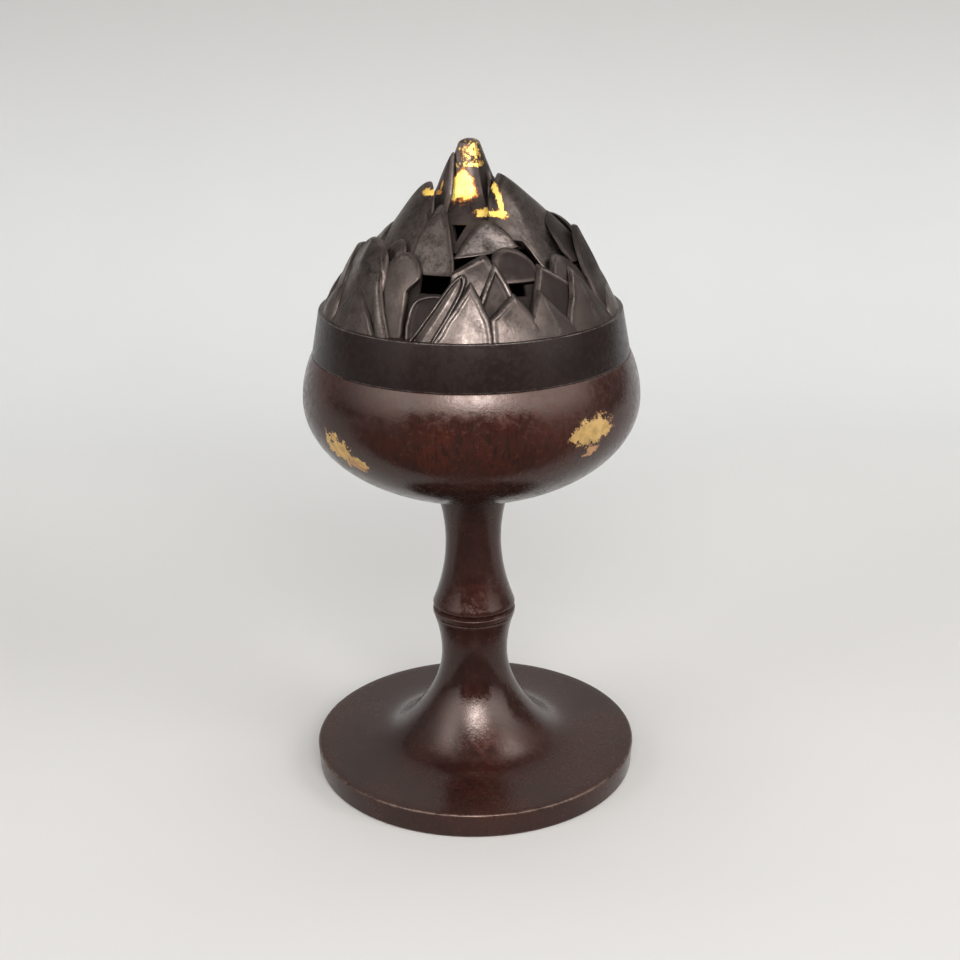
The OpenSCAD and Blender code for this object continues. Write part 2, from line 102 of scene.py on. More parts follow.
# Profile with its corners rounded: each corner is [r, z, radius], and an arc stands in for it
def roundCorners(corners, steps=7):
    out = []
    count = len(corners)
    for k, (r, z, radius) in enumerate(corners):
        p = np.array([r, z], float)
        if radius <= 0:
            out.append(p[None])
            continue
        a = np.array(corners[k - 1][:2], float) - p
        b = np.array(corners[(k + 1) % count][:2], float) - p
        la, lb = np.linalg.norm(a), np.linalg.norm(b)
        a, b = a / la, b / lb
        half = np.arccos(np.clip(a @ b, -1, 1)) / 2
        reach = min(radius / np.tan(half), 0.45 * la, 0.45 * lb)  # an arc takes less than half of a side
        t = np.linspace(0, 1, steps)[:, None]
        out.append(p + a * reach * (1 - t) ** 2 + b * reach * t ** 2)
    return np.vstack(out)


# Turned piece: a profile of [r, z] points carried round the axis; wear follows the profile's convex bends, and warm is
# a bell curve of azimuth and height about zone, [azimuth, z, half turn, half height], a redder zone painted as light on
# the front; dim, [z, z, share], is painted shade that darkens from the first height to the second
def turned(name, profile, material, closed=True, segments=160, rub=1.0, zone=(0, 0, 1, 1), dim=(1, 0, 0)):
    a = np.linspace(0, 2 * np.pi, segments, endpoint=False)
    prev, nxt = np.roll(profile, 1, 0), np.roll(profile, -1, 0)
    e0, e1 = profile - prev, nxt - profile
    l0, l1 = np.linalg.norm(e0, axis=1) + 1e-9, np.linalg.norm(e1, axis=1) + 1e-9
    bend = np.arcsin(np.clip((e0[:, 0] * e1[:, 1] - e0[:, 1] * e1[:, 0]) / (l0 * l1), -1, 1))
    area = (profile[:, 0] * nxt[:, 1] - nxt[:, 0] * profile[:, 1]).sum()
    curve = np.sign(area) * bend / np.maximum(0.5 * (l0 + l1), 0.05)
    wear = rub * smoothstep(0.25, 1.6, curve)  # curve in radians per mm
    ring = np.stack([np.sin(a), -np.cos(a)], -1)
    rows = profile if closed else profile[1:-1]
    height = np.broadcast_to(rows[:, None, 1:], (len(rows), segments, 1))
    grid = np.concatenate([rows[:, None, :1] * ring[None], height], -1)
    poles = None if closed else np.array([[0, 0, profile[0, 1]], [0, 0, profile[-1, 1]]])
    points, quads, tris = ringSkin(grid, ringClosed=closed, poles=poles)
    turn = np.degrees(np.arctan2(points[:, 0], -points[:, 1])) - zone[0]
    warm = np.exp(-(turn / zone[2]) ** 2 - ((points[:, 2] - zone[1]) / zone[3]) ** 2)
    soot = dim[2] * smoothstep(dim[0], dim[1], points[:, 2])
    spread = lambda value: np.concatenate([np.repeat(value if closed else value[1:-1], segments), [0, 0]])[:len(points)]
    outer = spread(np.sign(area) * (nxt - prev)[:, 1] > 0)
    return putMesh(name, points, quads, tris, material, wear=spread(wear), warm=warm, soot=soot, outer=outer)


# Piece on its body, in place of a CAD node, which is hidden
def place(piece, body, node):
    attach(piece, body)
    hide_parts(node)


# Shader nodes: one call makes a node, sets it up and links or fills its sockets
def addNode(tree, kind, settings=None, inputs=None):
    made = tree.nodes.new(kind)
    for key, value in (settings or {}).items():
        setattr(made, key, value)
    for key, value in (inputs or {}).items():
        if isinstance(value, bpy.types.NodeSocket):
            tree.links.new(value, made.inputs[key])
        else:
            made.inputs[key].default_value = value
    return made


# Short calls for the nodes that repeat
def calc(tree, operation, a, b=0.0, c=0.0, clamp=False):
    return addNode(tree, "ShaderNodeMath", {"operation": operation, "use_clamp": clamp}, {0: a, 1: b, 2: c}).outputs[0]


# Short names for the sums of one tree; each takes sockets or plain numbers
def sums(tree, *kinds):
    return (lambda a, b, clamp=False, kind=kind: calc(tree, kind, a, b, clamp=clamp) for kind in kinds)


def blendColor(tree, factor, a, b):
    return addNode(tree, "ShaderNodeMix", {"data_type": "RGBA"}, {0: factor, 6: a, 7: b}).outputs[2]


def blendValue(tree, factor, a, b):
    return addNode(tree, "ShaderNodeMix", {"data_type": "FLOAT"}, {0: factor, 2: a, 3: b}).outputs[0]


# Value eased from one range to another
def span(tree, value, low, high, toLow=0.0, toHigh=1.0):
    made = addNode(tree, "ShaderNodeMapRange", {"interpolation_type": "SMOOTHSTEP"},
                   {"Value": value, "From Min": low, "From Max": high, "To Min": toLow, "To Max": toHigh})
    return made.outputs["Result"]


def noise(tree, vector, scale, detail=4.0, rough=0.55):
    return addNode(tree, "ShaderNodeTexNoise", None,
                   {"Vector": vector, "Scale": scale, "Detail": detail, "Roughness": rough}).outputs["Fac"]


def stretch(tree, vector, scale):
    return addNode(tree, "ShaderNodeMapping", None, {"Vector": vector, "Scale": scale}).outputs["Vector"]


def objectCoords(tree):
    return addNode(tree, "ShaderNodeTexCoord").outputs["Object"]


def splitXyz(tree, vector):
    return addNode(tree, "ShaderNodeSeparateXYZ", None, {0: vector}).outputs


def newMaterial(name):
    material = bpy.data.materials.new(name)
    material.use_nodes = True
    return material, material.node_tree, material.node_tree.nodes["Principled BSDF"]


# Node group with its input sockets in the order given
def newGroup(name, inputs, outputs):
    tree = bpy.data.node_groups.new(name, "ShaderNodeTree")
    for label, kind, value in inputs:
        socket = tree.interface.new_socket(name=label, in_out="INPUT", socket_type="NodeSocket" + kind)
        if value is not None:
            socket.default_value = value
    for label, kind in outputs:
        tree.interface.new_socket(name=label, in_out="OUTPUT", socket_type="NodeSocket" + kind)
    given = addNode(tree, "NodeGroupInput")
    return tree, [given.outputs[row[0]] for row in inputs], addNode(tree, "NodeGroupOutput")


def linkAll(tree, node, sockets):
    for label, value in sockets.items():
        tree.links.new(value, node.inputs[label])


patinaForm = {"cloud": 42.0, "patch": 130.0, "fleck": 520.0, "grain": 1700.0, "stroke": (1150, 1150, 260)}  # scales


# Patina: slow clouds between two tones, soft warm patches cut by short upright strokes, and pin-point grain that is
# lighter in places and darker in others
def makePatinaGroup():
    tree, (vec, dark, mid, bright, streak, vein), out = newGroup("patinaMottle",
        [("Vector", "Vector", None), ("Dark", "Color", (0.03, 0.012, 0.01, 1)),
         ("Mid", "Color", (0.05, 0.018, 0.012, 1)), ("Bright", "Color", (0.1, 0.03, 0.018, 1)),
         ("Streak", "Float", 0.5), ("Vein", "Float", 0.5)],
        [("Color", "Color"), ("Grain", "Float"), ("Cloud", "Float")])
    add, sub, mul = sums(tree, "ADD", "SUBTRACT", "MULTIPLY")
    p = patinaForm
    cloud = noise(tree, vec, p["cloud"], 3.0, 0.5)
    fleck = noise(tree, vec, p["fleck"], 4.0, 0.62)
    grain = noise(tree, vec, p["grain"], 2.0, 0.6)
    stroke = noise(tree, stretch(tree, vec, p["stroke"]), 1.0, 3.0, 0.6)
    warm = add(mul(noise(tree, vec, p["patch"], 3.0, 0.55), 0.7), mul(fleck, 0.3))
    warm = mul(span(tree, warm, 0.40, 0.64, 0.40, 1.0), streak, clamp=True)
    cut = mul(span(tree, stroke, 0.50, 0.62), mul(vein, add(streak, 0.1, clamp=True)))
    color = blendColor(tree, span(tree, cloud, 0.30, 0.68), dark, mid)
    color = blendColor(tree, warm, color, bright)
    color = blendColor(tree, mul(cut, 0.8), color, dark)
    color = blendColor(tree, span(tree, fleck, 0.52, 0.72, 0.0, 0.32), color, dark)
    color = blendColor(tree, span(tree, grain, 0.46, 0.30, 0.0, 0.25), color, bright)
    relief = sub(add(mul(grain, 0.45), mul(fleck, 0.55)), mul(cut, 0.40))
    linkAll(tree, out, {"Color": color, "Grain": relief, "Cloud": add(mul(cloud, 0.4), mul(fleck, 0.6))})
    return tree


# Rubbed edges: the piece's wear value broken up by two noises
def makeRubGroup():
    tree, (vec, wear, amount), out = newGroup("rubbedEdge",
        [("Vector", "Vector", None), ("Wear", "Float", 0.0), ("Amount", "Float", 1.0)], [("Mask", "Float")])
    add, mul = sums(tree, "ADD", "MULTIPLY")
    broken = add(noise(tree, vec, 240.0, 4.0, 0.62), mul(noise(tree, vec, 1300.0, 3.0), 0.6))
    linkAll(tree, out, {"Mask": mul(mul(wear, span(tree, broken, 0.55, 1.0)), amount, clamp=True)})
    return tree


splashForm = {"square": 2.6, "root": 0.385, "narrowest": 0.2, "rough": 3.4, "fine": 1.5, "fineScale": 4.5,
              "loose": 1.45}


# Gold splash: an oval about a place on the surface, given by azimuth, height and half sizes, narrowing upwards by
# Taper, with a ragged edge, holes and loose flakes from noise of scale Flake; Cover below one breaks it up throughout,
# and Rim is the band of half-covered metal round it
def makeSplashGroup():
    tree, given, out = newGroup("goldSplash",
        [("Vector", "Vector", None), ("Azimuth", "Float", 0.0), ("Height", "Float", 0.1), ("HalfWidth", "Float", 0.008),
         ("HalfHeight", "Float", 0.005), ("Tilt", "Float", 0.0), ("Taper", "Float", 0.0), ("Ragged", "Float", 0.6),
         ("Cover", "Float", 1.0), ("Seed", "Float", 0.0), ("Flake", "Float", 420.0)],
        [("Mask", "Float"), ("Rim", "Float")])
    vec, azimuth, height, halfWidth, halfHeight, tilt, taper, ragged, cover, seed, flake = given
    add, sub, mul, div, power, less = sums(tree, "ADD", "SUBTRACT", "MULTIPLY", "DIVIDE", "POWER", "LESS_THAN")
    s = splashForm
    turn = addNode(tree, "ShaderNodeVectorRotate", {"rotation_type": "Z_AXIS"},
                   {"Vector": vec, "Angle": mul(azimuth, -1.0)})
    part = splitXyz(tree, turn.outputs["Vector"])
    x, z = part["X"], sub(part["Z"], height)
    cosT, sinT = calc(tree, "COSINE", tilt), calc(tree, "SINE", tilt)
    across = div(sub(mul(z, cosT), mul(x, sinT)), halfHeight)
    narrow = calc(tree, "MAXIMUM", sub(1.0, mul(across, taper)), s["narrowest"])
    along = div(div(add(mul(x, cosT), mul(z, sinT)), halfWidth), narrow)
    reach = power(add(*(power(calc(tree, "ABSOLUTE", k), s["square"]) for k in (along, across))), s["root"])
    shifted = addNode(tree, "ShaderNodeVectorMath", {"operation": "ADD"}, {0: vec, 1: seed}).outputs[0]
    rough = noise(tree, shifted, flake, 7.0, 0.70)
    fine = noise(tree, shifted, mul(flake, s["fineScale"]), 3.0, 0.65)
    edge = add(mul(sub(rough, 0.5), s["rough"]), mul(sub(fine, 0.5), s["fine"]))
    level = add(add(reach, mul(edge, ragged)), sub(1.0, cover))
    near = mul(less(part["Y"], 0.0), less(reach, s["loose"]))
    mask = mul(span(tree, level, 1.0, 0.93), near)
    wide = mul(span(tree, level, 1.18, 1.0), near)
    linkAll(tree, out, {"Mask": mask, "Rim": sub(wide, mask, clamp=True)})
    return tree


patinaGroup, rubGroup, splashGroup = makePatinaGroup(), makeRubGroup(), makeSplashGroup()


def useGroup(tree, group, inputs):
    return addNode(tree, "ShaderNodeGroup", {"node_tree": group}, inputs).outputs


goldSkin = {"metal": 0.55, "rough": 0.42, "high": 0.6, "rimCover": 0.75, "tintScale": 420.0}


# Patinated bronze with rubbed edges and any number of gold splashes
def bronze(name, look, splashes=()):
    material, tree, shader = newMaterial(name)
    add, mul = sums(tree, "ADD", "MULTIPLY")
    vec = objectCoords(tree)
    wear, soot, warm, outer = (addNode(tree, "ShaderNodeAttribute", {"attribute_name": label}).outputs["Fac"]
                               for label in ("wear", "soot", "warm", "outer"))
    # Painted light: more warm, redder and lighter patches in a zone on the front, where the light falls
    streak = calc(tree, "MULTIPLY_ADD", warm, look["zone"], look["streak"])
    patina = useGroup(tree, patinaGroup, {"Vector": vec, "Dark": look["dark"], "Mid": look["mid"],
                                          "Bright": look["bright"], "Streak": streak, "Vein": look["vein"]})
    rub = useGroup(tree, rubGroup, {"Vector": vec, "Wear": wear, "Amount": look["rub"]})["Mask"]
    color = blendColor(tree, rub, patina["Color"], look["bare"])
    # Soot on the inner faces and painted shade share this one dark tone
    color = blendColor(tree, soot, color, look["soot"])
    rough = span(tree, patina["Cloud"], 0.36, 0.64, *look["rough"])
    rough = calc(tree, "MULTIPLY_ADD", soot, look["matte"], rough)
    metal = add(mul(rub, 0.6), look["metal"], clamp=True)
    height = mul(patina["Grain"], look["grain"])
    for spot, (light, deep, rimTone) in splashes:
        gold = useGroup(tree, splashGroup, {"Vector": vec, **spot})
        mask, rim = mul(gold["Mask"], outer), mul(gold["Rim"], outer)
        tint = blendColor(tree, span(tree, noise(tree, vec, goldSkin["tintScale"], 3.0), 0.35, 0.7), light, deep)
        color = blendColor(tree, mul(rim, goldSkin["rimCover"]), color, rimTone)
        color = blendColor(tree, mask, color, tint)
        metal = blendValue(tree, mask, metal, goldSkin["metal"])
        rough = blendValue(tree, mask, rough, goldSkin["rough"])
        height = add(height, mul(mask, goldSkin["high"]))
    bump = addNode(tree, "ShaderNodeBump", None, {"Strength": look["bump"], "Distance": 0.2 * mm, "Height": height})
    shader.inputs["Specular IOR Level"].default_value = look["shine"]
    shader.inputs["Specular Tint"].default_value = look["tint"]
    linkAll(tree, shader, {"Base Color": color, "Roughness": rough, "Metallic": metal,
                           "Normal": bump.outputs["Normal"]})
    return material


# Looks: patina tones, share of warm patches, their rise in the warm zone (painted light on the front), stroke depth,
# rubbed metal and its share, roughness, metalness, grain and bump, the tone of soot and painted shade with its added
# roughness, mirror level and tint
brownLook = {"dark": (0.019, 0.0092, 0.0082, 1), "mid": (0.035, 0.0125, 0.0095, 1),
             "bright": (0.078, 0.0190, 0.0125, 1), "streak": 0.16, "zone": 0.40, "vein": 1.0,
             "bare": (0.36, 0.255, 0.20, 1), "rub": 0.5, "rough": (0.09, 0.30), "metal": 0.0, "grain": 0.5,
             "bump": 0.46, "soot": (0.012, 0.007, 0.0062, 1), "matte": 0.0, "shine": 0.42,
             "tint": (1.0, 0.86, 0.80, 1)}
lidLook = {"dark": (0.0180, 0.0136, 0.0123, 1), "mid": (0.0330, 0.0250, 0.0220, 1),
           "bright": (0.058, 0.042, 0.035, 1), "streak": 0.5, "zone": 0.0, "vein": 0.25,
           "bare": (0.34, 0.295, 0.275, 1), "rub": 1.0, "rough": (0.25, 0.43), "metal": 0.7, "grain": 0.9, "bump": 0.50,
           "soot": (0.014, 0.0098, 0.0088, 1), "matte": 0.3, "shine": 0.5, "tint": (1.0, 0.95, 0.92, 1)}
paleGold = [(0.78, 0.52, 0.21, 1), (0.56, 0.35, 0.12, 1), (0.20, 0.09, 0.05, 1)]  # light, deep and rim tones
pinkGold = [(0.60, 0.32, 0.18, 1), (0.52, 0.32, 0.14, 1), (0.20, 0.09, 0.05, 1)]
brightGold = [(0.95, 0.72, 0.19, 1), (0.92, 0.60, 0.11, 1), (0.55, 0.16, 0.025, 1)]
redGold = [(0.92, 0.52, 0.12, 1), (0.75, 0.24, 0.06, 1), (0.40, 0.12, 0.03, 1)]


# One splash: azimuth in degrees, height and half sizes in metres, tilt, ragged edge and seed
def splash(gold, az, height, halfWidth, halfHeight, tilt, ragged, seed, **more):
    return {"Azimuth": math.radians(az), "Height": height, "HalfWidth": halfWidth, "HalfHeight": halfHeight,
            "Tilt": tilt, "Ragged": ragged, "Seed": seed, **more}, gold


bowlSplashes = [
    splash(paleGold, 42.0, 0.1180, 0.0070, 0.0034, 0.06, 0.80, 0.31),
    splash(pinkGold, 42.2, 0.1122, 0.0024, 0.0016, 0.0, 0.9, 0.66, Cover=0.9),
    splash(paleGold, -49.6, 0.1115, 0.0054, 0.0034, -0.50, 0.95, 0.74),
    splash(pinkGold, -43.6, 0.1076, 0.0030, 0.0014, -0.3, 0.8, 0.18),
    splash(paleGold, -40.6, 0.1092, 0.0022, 0.0015, -0.6, 0.9, 0.57)]
summitSplashes = [
    splash(brightGold, -19, 0.1790, 0.0034, 0.0039, 0.0, 0.36, 0.12, Taper=0.60, Flake=520.0),
    splash(brightGold, 10, 0.1877, 0.0030, 0.0026, 0.0, 1.2, 0.52, Cover=0.66, Flake=900.0),
    splash(brightGold, 12, 0.1843, 0.0030, 0.0008, 0.1, 1.5, 0.83, Cover=0.75, Flake=1100.0),
    splash(brightGold, 18, 0.1724, 0.0021, 0.0009, 0.2, 0.85, 0.27, Flake=1000.0)]
leafSplashes = [
    splash(brightGold, -52, 0.1776, 0.0018, 0.0007, -0.1, 0.95, 0.91, Flake=1000.0),
    splash(brightGold, 31.5, 0.1764, 0.0008, 0.0041, -0.14, 0.8, 0.44, Flake=900.0),
    splash(brightGold, 26, 0.1728, 0.0024, 0.0009, -0.1, 0.85, 0.27, Flake=1000.0)]
peakSplashes = [
    splash(redGold, -62, 0.1768, 0.0013, 0.0006, 0.1, 0.5, 0.35, Flake=1300.0),
    splash(redGold, -60, 0.1786, 0.0004, 0.0014, 0.0, 0.5, 0.64, Flake=1300.0)]
brownBronze = bronze("brownBronze", brownLook)
bowlBronze = bronze("bowlBronze", {**brownLook, "mid": (0.038, 0.0138, 0.0108, 1), "bright": (0.090, 0.0185, 0.0090, 1),
                                   "zone": 0.85, "bump": 0.52, "rough": (0.10, 0.33)}, bowlSplashes)
lidBronze = bronze("lidBronze", lidLook)
leafBronze = bronze("leafBronze", lidLook, leafSplashes)
summitBronze = bronze("summitBronze", {**lidLook, "dark": (0.0150, 0.0092, 0.0080, 1),
                                       "mid": (0.026, 0.0170, 0.0145, 1), "rub": 0.6}, summitSplashes)
peakBronze = bronze("peakBronze", lidLook, peakSplashes)
bandBronze = bronze("bandBronze", {**lidLook, "dark": (0.0115, 0.0078, 0.0074, 1), "mid": (0.0195, 0.0126, 0.0114, 1),
                                   "bright": (0.028, 0.017, 0.0138, 1), "rough": (0.20, 0.32), "metal": 0.0,
                                   "bump": 0.30, "shine": 0.16})
smokedBronze = bronze("smokedBronze", {**lidLook, "dark": (0.006, 0.0045, 0.004, 1), "mid": (0.010, 0.0075, 0.0066, 1),
                                       "bright": (0.015, 0.011, 0.0095, 1), "rough": (0.55, 0.75), "metal": 0.0,
                                       "shine": 0.15})


# Plain metal with drawn scratches and stains, for the hardware and the liner
def plainMetal(name, tone, stain, rough, drawn):
    material, tree, shader = newMaterial(name)
    vec = objectCoords(tree)
    cloud = noise(tree, vec, 90.0, 5.0, 0.6)
    lines = noise(tree, stretch(tree, vec, drawn), 1.0, 3.0, 0.6)
    bump = addNode(tree, "ShaderNodeBump", None, {"Strength": 0.2, "Distance": 0.1 * mm, "Height": lines})
    shader.inputs["Metallic"].default_value = 1.0
    linkAll(tree, shader, {"Base Color": blendColor(tree, span(tree, cloud, 0.4, 0.7), tone, stain),
                           "Roughness": span(tree, lines, 0.3, 0.7, rough - 0.08, rough + 0.1),
                           "Normal": bump.outputs["Normal"]})
    return material


zincSteel = plainMetal("zincSteel", (0.50, 0.50, 0.49, 1), (0.33, 0.30, 0.27, 1), 0.38, (300, 300, 4000))
oldCopper = plainMetal("oldCopper", (0.31, 0.155, 0.095, 1), (0.13, 0.075, 0.055, 1), 0.44, (200, 200, 2500))
print("materials made")

footForm = {"rimR": 49.0, "rimH": 7.6, "draft": 0.5, "land": 4.5, "wall": 3.0, "flareR": 26.5, "blend": 4.0,
            "neckR": 10.0, "neckZ": 36.5, "topZ": 48.9, "topR": 12.2, "boreR": 4.3, "seatZ": 24.0, "seatR": 8.6,
            "rimRun": 12.0, "rimEase": 1.0, "lipH": 0.5, "lipCut": 0.15, "lipIn": 0.6, "litWarmZone": (-2, 16, 26, 22)}


# Foot: the flare falls from the neck as a square root of the radius and is eased into the flat disc
def flareZ(r):
    f = footForm
    eased = lambda d: (d + np.sqrt(d * d + f["blend"] ** 2)) / 2
    share = lambda q: np.sqrt(np.maximum(0, q - f["neckR"]) / (f["flareR"] - f["neckR"]))
    drop = lambda q: (f["neckZ"] - f["rimH"]) * (1 - share(q))
    return f["rimH"] + eased(drop(r)) - eased(drop(np.array(f["rimR"])))


# Foot profile: sole and rounded rim, the flare, a neck that widens by the square of its height, and a hollow that keeps
# the wall's distance from the flare up to the nut's seat
def footProfile():
    f = footForm
    soleR, insideR = f["rimR"] - f["draft"] - f["land"], f["rimR"] - f["rimRun"]
    t = np.linspace(1, 0, 60)[1:]
    r = f["neckR"] + (f["rimR"] - f["rimEase"] - f["neckR"]) * t * t
    rise = np.stack([r, flareZ(r)], -1)
    z = np.linspace(f["neckZ"], f["topZ"] - f["lipH"], 16)[1:]
    neckUp = (z - f["neckZ"]) / (f["topZ"] - f["neckZ"])
    neck = np.stack([f["neckR"] + (f["topR"] - f["neckR"]) * neckUp ** 2, z], -1)
    shift = f["wall"] / np.sqrt(2)
    hollowR = np.linspace(soleR, f["seatR"], 34)
    hollow = np.stack([hollowR, np.minimum(f["seatZ"], flareZ(hollowR + shift) - shift)], -1)
    rim = roundCorners([[insideR, 0, 0], [f["rimR"] - f["draft"], 0, 0.7], [f["rimR"], f["rimH"] - 0.1, 0.75],
                        [insideR, float(flareZ(np.array(insideR))), 0]])[1:-1]
    top = [[f["topR"] - f["lipCut"], f["topZ"] - f["lipCut"]], [f["topR"] - f["lipIn"], f["topZ"]],
           [f["boreR"], f["topZ"]]]
    return np.vstack([[[soleR, 0]], rim, rise, neck, top, [[f["boreR"], f["seatZ"]]], hollow[::-1]])


place(turned("footTrumpet", footProfile(), brownBronze, segments=192, rub=0.7, zone=footForm["litWarmZone"]),
      "stand", "foot")

stemForm = {"ringZ": 48.9, "ringH": 2.7, "ringR": 12.45, "bevel": 0.9, "topZ": 89.4, "lipR": 12.5, "waistR": 8.3,
            "waistZ": 73.0, "topR": 11.1, "boreR": 4.3, "stepIn": 0.35, "stepH": 0.55, "grooveIn": 1.2, "lipIn": 1.3,
            "lipEase": 0.5, "rub": 0.3, "litWarmZone": (-4, 60, 30, 9)}


# Ring: a square bead with a small step under it and a bevel that makes one side of the groove
def ringProfile():
    s = stemForm
    z0, z1, r = s["ringZ"], s["ringZ"] + s["ringH"], s["ringR"]
    return roundCorners([[s["boreR"], z0, 0], [r - s["stepIn"], z0, 0.2], [r - 0.05, z0 + s["stepH"], 0.25],
                         [r, z1 - s["bevel"], 0.3], [r - s["grooveIn"], z1, 0.1], [s["boreR"], z1, 0]])


# Upper stem: two parabolas that meet at the waist, with a bevelled lower lip
def upperStemProfile():
    s = stemForm
    z0 = s["ringZ"] + s["ringH"]
    lipZ = z0 + s["bevel"]
    bow = lambda z, endR, endZ: np.stack(
        [s["waistR"] + (endR - s["waistR"]) * ((z - s["waistZ"]) / (endZ - s["waistZ"])) ** 2, z], -1)
    lower = bow(np.linspace(lipZ + s["lipEase"], s["waistZ"], 26), s["lipR"], lipZ)
    upper = bow(np.linspace(s["waistZ"], s["topZ"], 20)[1:], s["topR"], s["topZ"])
    lip = roundCorners([[s["boreR"], z0, 0], [s["lipR"] - s["lipIn"], z0, 0.1], [s["lipR"] - 0.05, lipZ - 0.1, 0.45],
                        [lower[2, 0], lower[2, 1], 0]])[:-1]
    return np.vstack([lip, lower, upper, [[s["boreR"], s["topZ"]]]])


place(turned("stemRing", ringProfile(), brownBronze, rub=stemForm["rub"]), "stand", "stem_ring")
place(turned("upperStem", upperStemProfile(), brownBronze, rub=stemForm["rub"], zone=stemForm["litWarmZone"]),
      "stand", "upper_stem")

# dim is painted shade on the lower bowl, darker from 108 mm down to 95 mm
bowlForm = {"z": 89.4, "bellyZ": 118.0, "seatZ": 131.3, "lipZ": 135.3, "r": 48.6, "seatR": 45.5, "lipR": 42.4,
            "mouthR": 40.0, "wall": 2.4, "stemR": 11.1, "bossR": 9.0, "bossH": 7.6, "holeR": 4.05, "holeH": 6.4,
            "seatEase": 0.5, "shoulderH": 5.5, "litWarmZone": (0, 116, 26, 8), "dim": (108, 95, 0.8)}


# Bowl: two half ellipses that share the belly's radius, a rebated lip, and a boss round the blind rod hole
def bowlProfile():
    b = bowlForm
    lowB = (b["bellyZ"] - b["z"]) / math.sqrt(1 - (b["stemR"] / b["r"]) ** 2)
    topB = (b["seatZ"] - b["bellyZ"]) / math.sqrt(1 - (b["seatR"] / b["r"]) ** 2)
    ell = lambda z, h: b["r"] * np.sqrt(np.maximum(0, 1 - ((z - b["bellyZ"]) / h) ** 2))
    zl = b["bellyZ"] - (b["bellyZ"] - b["z"]) * np.cos(np.linspace(0, np.pi / 2, 64))
    outerLow = np.stack([ell(zl, lowB), zl], -1)
    zt = np.linspace(b["bellyZ"], b["seatZ"] - b["seatEase"], 24)[1:]
    outerTop = np.stack([ell(zt, topB), zt], -1)
    under, mouthZ = b["seatZ"] - 1.0, b["seatZ"] - b["wall"]
    seat = roundCorners([[float(ell(np.array(under), topB)), under, 0], [b["seatR"], b["seatZ"], 0.35],
                         [b["lipR"], b["seatZ"], 0.15], [b["lipR"], b["lipZ"], 0.3], [b["mouthR"], b["lipZ"], 0.3],
                         [b["mouthR"], mouthZ, 0.4], [b["mouthR"] + 2, mouthZ - 3, 0]])[1:-1]
    zi = np.linspace(b["seatZ"] - b["shoulderH"], b["bellyZ"], 14)
    innerTop = np.stack([ell(zi, topB) - b["wall"], zi], -1)
    a = np.linspace(0, np.pi / 2, 40)[1:]
    inR, inB = b["r"] - b["wall"], lowB - b["wall"]
    innerLow = np.stack([inR * np.cos(a), b["bellyZ"] - inB * np.sin(a)], -1)
    innerLow = innerLow[innerLow[:, 0] > b["bossR"]]
    boss = [[b["bossR"], innerLow[-1, 1]], [b["bossR"], b["z"] + b["bossH"]], [0, b["z"] + b["bossH"]]]
    hole = [[0, b["z"] + b["holeH"]], [b["holeR"], b["z"] + b["holeH"]], [b["holeR"], b["z"]]]
    return np.vstack([hole, outerLow, outerTop, seat, innerTop, innerLow, boss])


place(turned("bowlBody", bowlProfile(), bowlBronze, closed=False, segments=192, rub=0.2, zone=bowlForm["litWarmZone"],
             dim=bowlForm["dim"]), "stand", "bowl")

linerForm = {"outR": 39.2, "wall": 1.0, "lipZ": 135.3, "flangeR": 42.1, "flangeT": 1.2, "roundZ": 113.3, "lowZ": 97.8}


# Liner: a straight cup with an elliptic bottom, hung by its flange
def linerProfile():
    l = linerForm
    a = np.linspace(0, np.pi / 2, 30)
    depth = l["roundZ"] - l["lowZ"]
    outer = np.stack([l["outR"] * np.sin(a), l["roundZ"] - depth * np.cos(a)], -1)
    inR = l["outR"] - l["wall"]
    inner = np.stack([inR * np.sin(a), l["roundZ"] - (depth - l["wall"]) * np.cos(a)], -1)[::-1]
    top = l["lipZ"] + l["flangeT"]
    flange = roundCorners([[l["outR"], l["roundZ"], 0], [l["outR"], l["lipZ"], 0.2], [l["flangeR"], l["lipZ"], 0.3],
                           [l["flangeR"], top, 0.35], [inR, top, 0.5], [inR, l["roundZ"], 0]])[1:-1]
    return np.vstack([outer, flange, inner])


place(turned("ashLiner", linerProfile(), oldCopper, closed=False), "liner", "ash_liner")

lidForm = {"seatZ": 131.3, "ledgeZ": 144.0, "seatR": 45.5, "ledgeR": 43.0, "boreR": 42.7, "slopeZ": 137.5,
           "shelfZ": 142.0, "wall": 2.2, "ledgeInR": 35.7, "setBack": 0.8, "depth": 1.9, "edge": 0.6, "lap": 0.25,
           "lowerSlope": 0.47, "tierH": 14.5, "leafTopH": 38.0, "summitGap": 1.8}


# Band: a plain cone with rounded corners, hollow inside, and the ledge on it
def bandProfile():
    l = lidForm
    return roundCorners([[l["boreR"], l["seatZ"], 0.2], [l["seatR"] - 0.1, l["seatZ"], 0.35],
                         [l["ledgeR"] + 0.1, l["ledgeZ"], 0.3], [l["ledgeInR"], l["ledgeZ"], 0.2],
                         [l["ledgeInR"], l["shelfZ"], 0.2], [l["ledgeR"] - l["wall"], l["shelfZ"], 0.4],
                         [l["boreR"], l["slopeZ"], 0.4]])


place(turned("lidBand", bandProfile(), bandBronze, segments=192, rub=0.4), "lid", "lid_rim")
print("turned pieces made")
